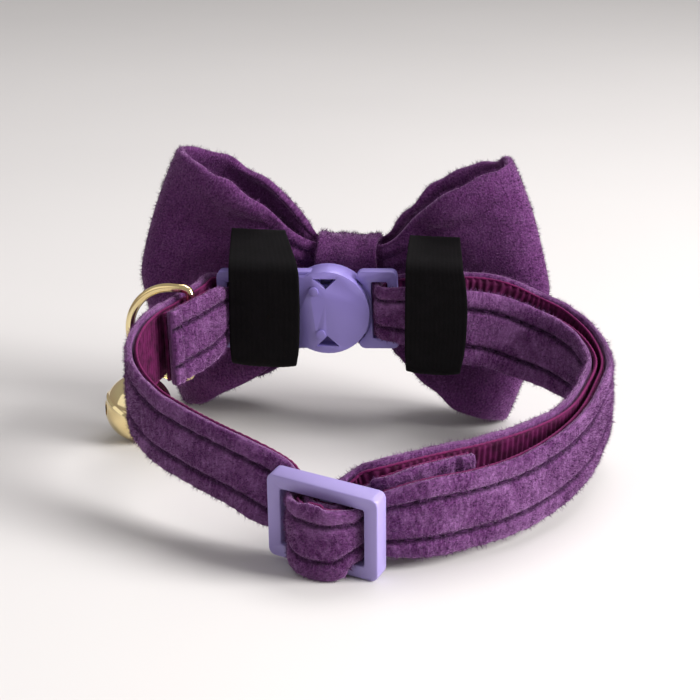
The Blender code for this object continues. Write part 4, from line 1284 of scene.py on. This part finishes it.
def build_elastics():
    look = bpy.context.scene.collar_trim
    finish = cloth_finish(
        "Black elastic", look.elastic, tuple(part * 1.8 for part in look.elastic), 500.0, 0.85, 0.02,
        (0.5, 0.45, 0.5),
    )
    shift = home_shift()
    for name, strap_x, strap_width, bow_x, bow_width, depth, lower, bulge in ELASTICS:
        centre = Vector((shift.x, BOW_Y - elastic_back() - depth / 2 + shift.y, ELASTIC_MIDDLE_Z + shift.z))
        height = ELASTIC_HEIGHT
        count, columns = 160, 41
        inset = ELASTIC_WALL / 2
        outline = rounded_loop(depth / 2 - inset, height / 2 - inset, ELASTIC_CORNER - inset, count)
        verts = []
        for number, (place, normal) in enumerate(outline):
            share = 0.5 - place[0] / depth
            tall = place[1] / (height / 2)
            lowered = lower * share * max(0, tall)
            width = (bow_width + (strap_width - bow_width) * share) * 0.985
            middle = bow_x + (strap_x - bow_x) * share
            for column in range(columns):
                across = 2 * column / (columns - 1) - 1
                rib = 0.02 * MM * math.cos(across * math.pi * 13)
                side = middle + across * width / 2 * (1 - 0.10 * share * max(0, -tall) ** 6)
                side += bulge * (1 - tall * tall) * share * (0.5 + 0.5 * across)
                lifted = 0.0008 * share * max(0, -tall) * (0.4 + 0.6 * abs(across) ** 3)
                out = rib + 0.03 * MM * math.sin(number * 0.55) * abs(across) ** 3
                verts.append(
                    (
                        centre.x + side,
                        centre.y + place[0] + normal[0] * out,
                        centre.z + place[1] - lowered + lifted + normal[1] * out,
                    )
                )
        sheet = new_mesh(name + "_sheet", verts, grid_faces(count, columns, False, True))
        walled(sheet, ELASTIC_WALL * 0.9)
        edge = sheet.modifiers.new("Soft edge", "BEVEL")
        edge.width = ELASTIC_WALL * 0.25
        edge.segments = 2
        edge.angle_limit = math.radians(60)
        band = baked(sheet, name + "_woven")
        band.data.shade_smooth()
        finished(band, finish, "elastic", name)


# Plastic and metal


def softened(node, name, width):
    """A copy of a solid with its moulded edges rounded."""
    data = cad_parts[node].data.copy()
    data.name = name
    bm = bmesh.new()
    bm.from_mesh(data)
    bmesh.ops.remove_doubles(bm, verts=bm.verts, dist=0.000004)
    bmesh.ops.dissolve_limit(bm, angle_limit=math.radians(1.5), verts=bm.verts, edges=bm.edges)
    bm.to_mesh(data)
    bm.free()
    source = linked(name + "_source", data)
    edges = source.modifiers.new("Moulded edges", "BEVEL")
    edges.width = width
    edges.segments = 3
    edges.limit_method = "ANGLE"
    edges.angle_limit = math.radians(32)
    edges.harden_normals = True
    made = baked(source, name)
    made.data.shade_smooth()
    made.data.set_sharp_from_angle(angle=math.radians(40))
    return made


def build_slider():
    look = bpy.context.scene.collar_plastic
    lighter = tuple(min(1, part * 1.08) for part in look.slider)
    finish = plastic_finish("Satin lavender plastic", look.slider, lighter, 0.42, 0.05, 0.25)
    finished(softened("slider", "slider_moulded", look.softness), finish, "slider_plastic", "slider")


def build_buckle():
    look = bpy.context.scene.collar_plastic
    lighter = tuple(min(1, part * 1.06) for part in look.buckle)
    finish = plastic_finish("Glossy lavender plastic", look.buckle, lighter, 0.30, 0.0, 0.05)
    for node in ("buckle_female", "buckle_male"):
        finished(softened(node, node + "_moulded", look.softness * 0.5), finish, "buckle_plastic", node)


def ring_frame():
    at = Vector(on_loop(RING_ACROSS, RING_ALONG, RING_RISE)) + home_shift()
    return Matrix.Translation(at) @ Matrix.Rotation(RING_TURN, 4, "Z")


def build_ring():
    arc = RING_HALF_HEIGHT
    straight = RING_REACH - arc
    points = [(0, -arc * 0.86 + arc * 1.72 * step / 16) for step in range(17)]
    points += [(-straight * 0.10, arc * 0.955), (-straight * 0.35, arc)]
    for step in range(61):
        angle = math.radians(90 + 3 * step)
        points.append((-straight + arc * math.cos(angle), arc * math.sin(angle)))
    points += [(-straight * 0.35, -arc), (-straight * 0.10, -arc * 0.955)]
    place = ring_frame()
    line = [place @ Vector((x, 0, z)) for x, z in points]
    ring = tube("ring_wire", line, RING_WIRE / 2, 20, closed=True)
    finished(ring, gold_finish(), "gold", "ring")


def build_bell():
    """The bell turned finely: a sphere with a rolled seam, crossed slots with round ends, and a wire loop."""
    look = bpy.context.scene.collar_trim
    profile = []
    for step in range(91):
        angle = math.radians(90 - 2 * step)
        seam = math.exp(-((angle / 0.045) ** 2))
        groove = math.exp(-(((angle - 0.085) / 0.02) ** 2))
        radius = BELL_RADIUS + 0.16 * MM * seam - 0.03 * MM * groove
        profile.append((max(0.0, radius * math.cos(angle)), radius * math.sin(angle)))
    bm = bmesh.new()
    verts = [bm.verts.new((x, 0, z)) for x, z in profile]
    for first, second in zip(verts, verts[1:]):
        bm.edges.new((first, second))
    data = bpy.data.meshes.new("bell_turned")
    bm.to_mesh(data)
    bm.free()
    bell = linked("bell_turned", data)
    turned = bell.modifiers.new("Turned", "SCREW")
    turned.steps = turned.render_steps = 96
    turned.use_merge_vertices = True
    turned.merge_threshold = 0.000001
    cutters = []

    def cutter(bm, name, matrix):
        bmesh.ops.transform(bm, matrix=matrix, verts=bm.verts)
        bmesh.ops.recalc_face_normals(bm, faces=bm.faces)
        data = bpy.data.meshes.new(name)
        bm.to_mesh(data)
        bm.free()
        made = linked(name, data)
        cut = bell.modifiers.new(name, "BOOLEAN")
        cut.operation = "DIFFERENCE"
        cut.solver = "EXACT"
        cut.object = made
        cutters.append(made)

    hollow = bmesh.new()
    bmesh.ops.create_uvsphere(hollow, u_segments=48, v_segments=24, radius=BELL_RADIUS - BELL_WALL)
    cutter(hollow, "bell_hollow", Matrix.Identity(4))
    for number in range(2):
        spin = Matrix.Rotation(math.pi / 2 * number + look.bell_spin, 4, "Z")
        slot = bmesh.new()
        bmesh.ops.create_cube(slot, size=1)
        size = Matrix.Diagonal((BELL_RADIUS * 2.4, BELL_SLOT * 0.75, BELL_RADIUS, 1))
        cutter(slot, f"bell_slot_{number}", spin @ Matrix.Translation((0, 0, -BELL_RADIUS * 0.85)) @ size)
        hole = bmesh.new()
        bmesh.ops.create_cone(
            hole, cap_ends=True, segments=32, radius1=BELL_HOLE, radius2=BELL_HOLE, depth=BELL_RADIUS * 2.4
        )
        turn = Matrix.Translation((0, 0, -BELL_RADIUS * 0.35)) @ Matrix.Rotation(math.pi / 2, 4, "Y")
        cutter(hole, f"bell_hole_{number}", spin @ turn)
    solid = baked(bell, "bell_gold")
    for made in cutters:
        drop(made)
    neck = BELL_RADIUS + SHANK_RADIUS - SHANK_WIRE / 4
    reach = RING_HALF_HEIGHT + neck
    drop_down = min(ring_frame().translation.z - BELL_RADIUS, reach)
    aside = math.sqrt(reach**2 - drop_down**2)
    at = Matrix.Translation((RING_HALF_HEIGHT - RING_REACH - aside, 0, -drop_down))
    matrix = ring_frame() @ at @ Matrix.Rotation(math.atan2(aside, drop_down), 4, "Y")
    solid.data.transform(matrix)
    solid.data.shade_smooth()
    solid.data.set_sharp_from_angle(angle=math.radians(35))
    finished(solid, gold_finish(), "gold", "bell")
    loop = []
    for turn in range(0, 360, 10):
        angle = math.radians(turn)
        y, z = SHANK_RADIUS * math.sin(angle), neck + SHANK_RADIUS * math.cos(angle)
        loop.append(matrix @ Vector((0, y, z)))
    shank = tube("bell_shank", loop, SHANK_WIRE / 2, 16, closed=True)
    finished(shank, gold_finish(), "gold")


# Stage


def area_light(name, place, size, power, colour):
    data = bpy.data.lights.new(name, "AREA")
    data.shape = "RECTANGLE"
    data.size, data.size_y = size
    data.energy = power
    data.color = colour
    light = linked(name, data)
    light.location = place
    light.rotation_euler = (Vector(LIGHT_TARGET) - Vector(place)).to_track_quat("-Z", "Y").to_euler()


def build_stage():
    look = bpy.context.scene.collar_stage
    data = bpy.data.meshes.new("floor")
    bm = bmesh.new()
    bmesh.ops.create_grid(bm, x_segments=4, y_segments=4, size=3.0)
    bm.to_mesh(data)
    bm.free()
    floor = linked("floor", data)
    floor.location.z = CAD_BOX[0].z - 0.00002
    made, tree, shader = new_material("Pale floor")
    paler = tuple(min(1, part * 1.03) for part in look.floor)
    drift = drifting(tree, look.floor, paler, 8.0)
    tree.feed(shader, {"Base Color": drift.outputs["Colour"], "Roughness": 0.6})
    floor.data.materials.append(made)

    world = bpy.data.worlds.new("Soft room")
    bpy.context.scene.world = world
    world.use_nodes = True
    room = Tree(world.node_tree)
    way = room.add("ShaderNodeTexCoord").outputs["Generated"]
    up = room.add("ShaderNodeSeparateXYZ", {0: way}).outputs[2]
    sky = room.mix(room.ramp(up, -0.05, 0.5), (0.86, 0.74, 0.74, 1), (1.0, 0.99, 0.98, 1))
    room.feed(world.node_tree.nodes["Background"], {"Color": sky, "Strength": 0.37})

    for light in LIGHTS:
        area_light(*light)

    shift = home_shift()
    data = bpy.data.cameras.new("photo_view")
    data.sensor_width = 36.0
    data.lens = look.lens
    data.dof.use_dof = False
    camera = linked("photo_view", data)
    camera.location = Vector(CAMERA_PLACE) + Vector((shift.x, shift.y, 0))
    camera.rotation_euler = CAMERA_TURN
    bpy.context.scene.camera = camera
    bpy.context.scene.view_settings.view_transform = "Standard"


# Operators, panel and registration


class CollarPiece:
    """What the collar's operators share: each runs its own build."""

    bl_options = {"REGISTER", "UNDO"}

    def execute(self, context):
        self.build()
        return {"FINISHED"}


class COLLAR_OT_strap(CollarPiece, bpy.types.Operator):
    """Velvet of the strap, with its pile and stitches"""

    bl_idname = "collar.strap"
    bl_label = "Velvet Strap"
    build = staticmethod(build_strap)


class COLLAR_OT_webbing(CollarPiece, bpy.types.Operator):
    """Ribbed webbing on the strap's inside, with its selvedges"""

    bl_idname = "collar.webbing"
    bl_label = "Webbing"
    build = staticmethod(build_webbing)


class COLLAR_OT_bow(CollarPiece, bpy.types.Operator):
    """Padded velvet bow"""

    bl_idname = "collar.bow"
    bl_label = "Bow"
    build = staticmethod(build_bow)


class COLLAR_OT_knot(CollarPiece, bpy.types.Operator):
    """Velvet band round the bow's middle"""

    bl_idname = "collar.knot"
    bl_label = "Knot Band"
    build = staticmethod(build_knot)


class COLLAR_OT_elastics(CollarPiece, bpy.types.Operator):
    """Black elastic bands that hold the bow to the strap"""

    bl_idname = "collar.elastics"
    bl_label = "Elastic Bands"
    build = staticmethod(build_elastics)


class COLLAR_OT_slider(CollarPiece, bpy.types.Operator):
    """Moulded slider"""

    bl_idname = "collar.slider"
    bl_label = "Slider"
    build = staticmethod(build_slider)


class COLLAR_OT_buckle(CollarPiece, bpy.types.Operator):
    """Both halves of the breakaway buckle"""

    bl_idname = "collar.buckle"
    bl_label = "Buckle"
    build = staticmethod(build_buckle)


class COLLAR_OT_ring(CollarPiece, bpy.types.Operator):
    """Plated wire ring"""

    bl_idname = "collar.ring"
    bl_label = "Ring"
    build = staticmethod(build_ring)


class COLLAR_OT_bell(CollarPiece, bpy.types.Operator):
    """Round bell with crossed slots"""

    bl_idname = "collar.bell"
    bl_label = "Bell"
    build = staticmethod(build_bell)


class COLLAR_OT_stage(CollarPiece, bpy.types.Operator):
    """Floor, soft lights and camera"""

    bl_idname = "collar.stage"
    bl_label = "Stage"
    build = staticmethod(build_stage)


class COLLAR_PT_pieces(bpy.types.Panel):
    """Lists the collar's pieces with their sizes and colours"""

    bl_idname = "COLLAR_PT_pieces"
    bl_label = "Pet Bow Tie Collar"
    bl_space_type = "VIEW_3D"
    bl_region_type = "UI"
    bl_category = "Collar"

    def draw(self, context):
        layout = self.layout
        for settings, operators in PANEL_ROWS:
            box = layout.box()
            group = getattr(context.scene, settings)
            for label in group.__annotations__:
                box.prop(group, label)
            for operator in operators:
                box.operator(operator)


PANEL_ROWS = (
    ("collar_stage", ("collar.stage",)),
    ("collar_velvet", ("collar.strap", "collar.bow", "collar.knot")),
    ("collar_webbing", ("collar.webbing",)),
    ("collar_plastic", ("collar.slider", "collar.buckle")),
    ("collar_trim", ("collar.elastics", "collar.ring", "collar.bell")),
)
SETTINGS = (
    ("collar_velvet", CollarVelvet),
    ("collar_webbing", CollarWebbing),
    ("collar_plastic", CollarPlastic),
    ("collar_trim", CollarTrim),
    ("collar_stage", CollarStage),
)
OPERATORS = (
    COLLAR_OT_stage,
    COLLAR_OT_strap,
    COLLAR_OT_webbing,
    COLLAR_OT_slider,
    COLLAR_OT_buckle,
    COLLAR_OT_bow,
    COLLAR_OT_knot,
    COLLAR_OT_elastics,
    COLLAR_OT_ring,
    COLLAR_OT_bell,
)


def register():
    for _, group in SETTINGS:
        bpy.utils.register_class(group)
    for operator in OPERATORS:
        bpy.utils.register_class(operator)
    bpy.utils.register_class(COLLAR_PT_pieces)
    for name, group in SETTINGS:
        setattr(bpy.types.Scene, name, PointerProperty(type=group))


def unregister():
    for name, _ in SETTINGS:
        delattr(bpy.types.Scene, name)
    bpy.utils.unregister_class(COLLAR_PT_pieces)
    for operator in reversed(OPERATORS):
        bpy.utils.unregister_class(operator)
    for _, group in reversed(SETTINGS):
        bpy.utils.unregister_class(group)


def main():
    register()
    for operator in OPERATORS:
        group, name = operator.bl_idname.split(".")
        getattr(getattr(bpy.ops, group), name)()


if __name__ == "__main__":
    main()
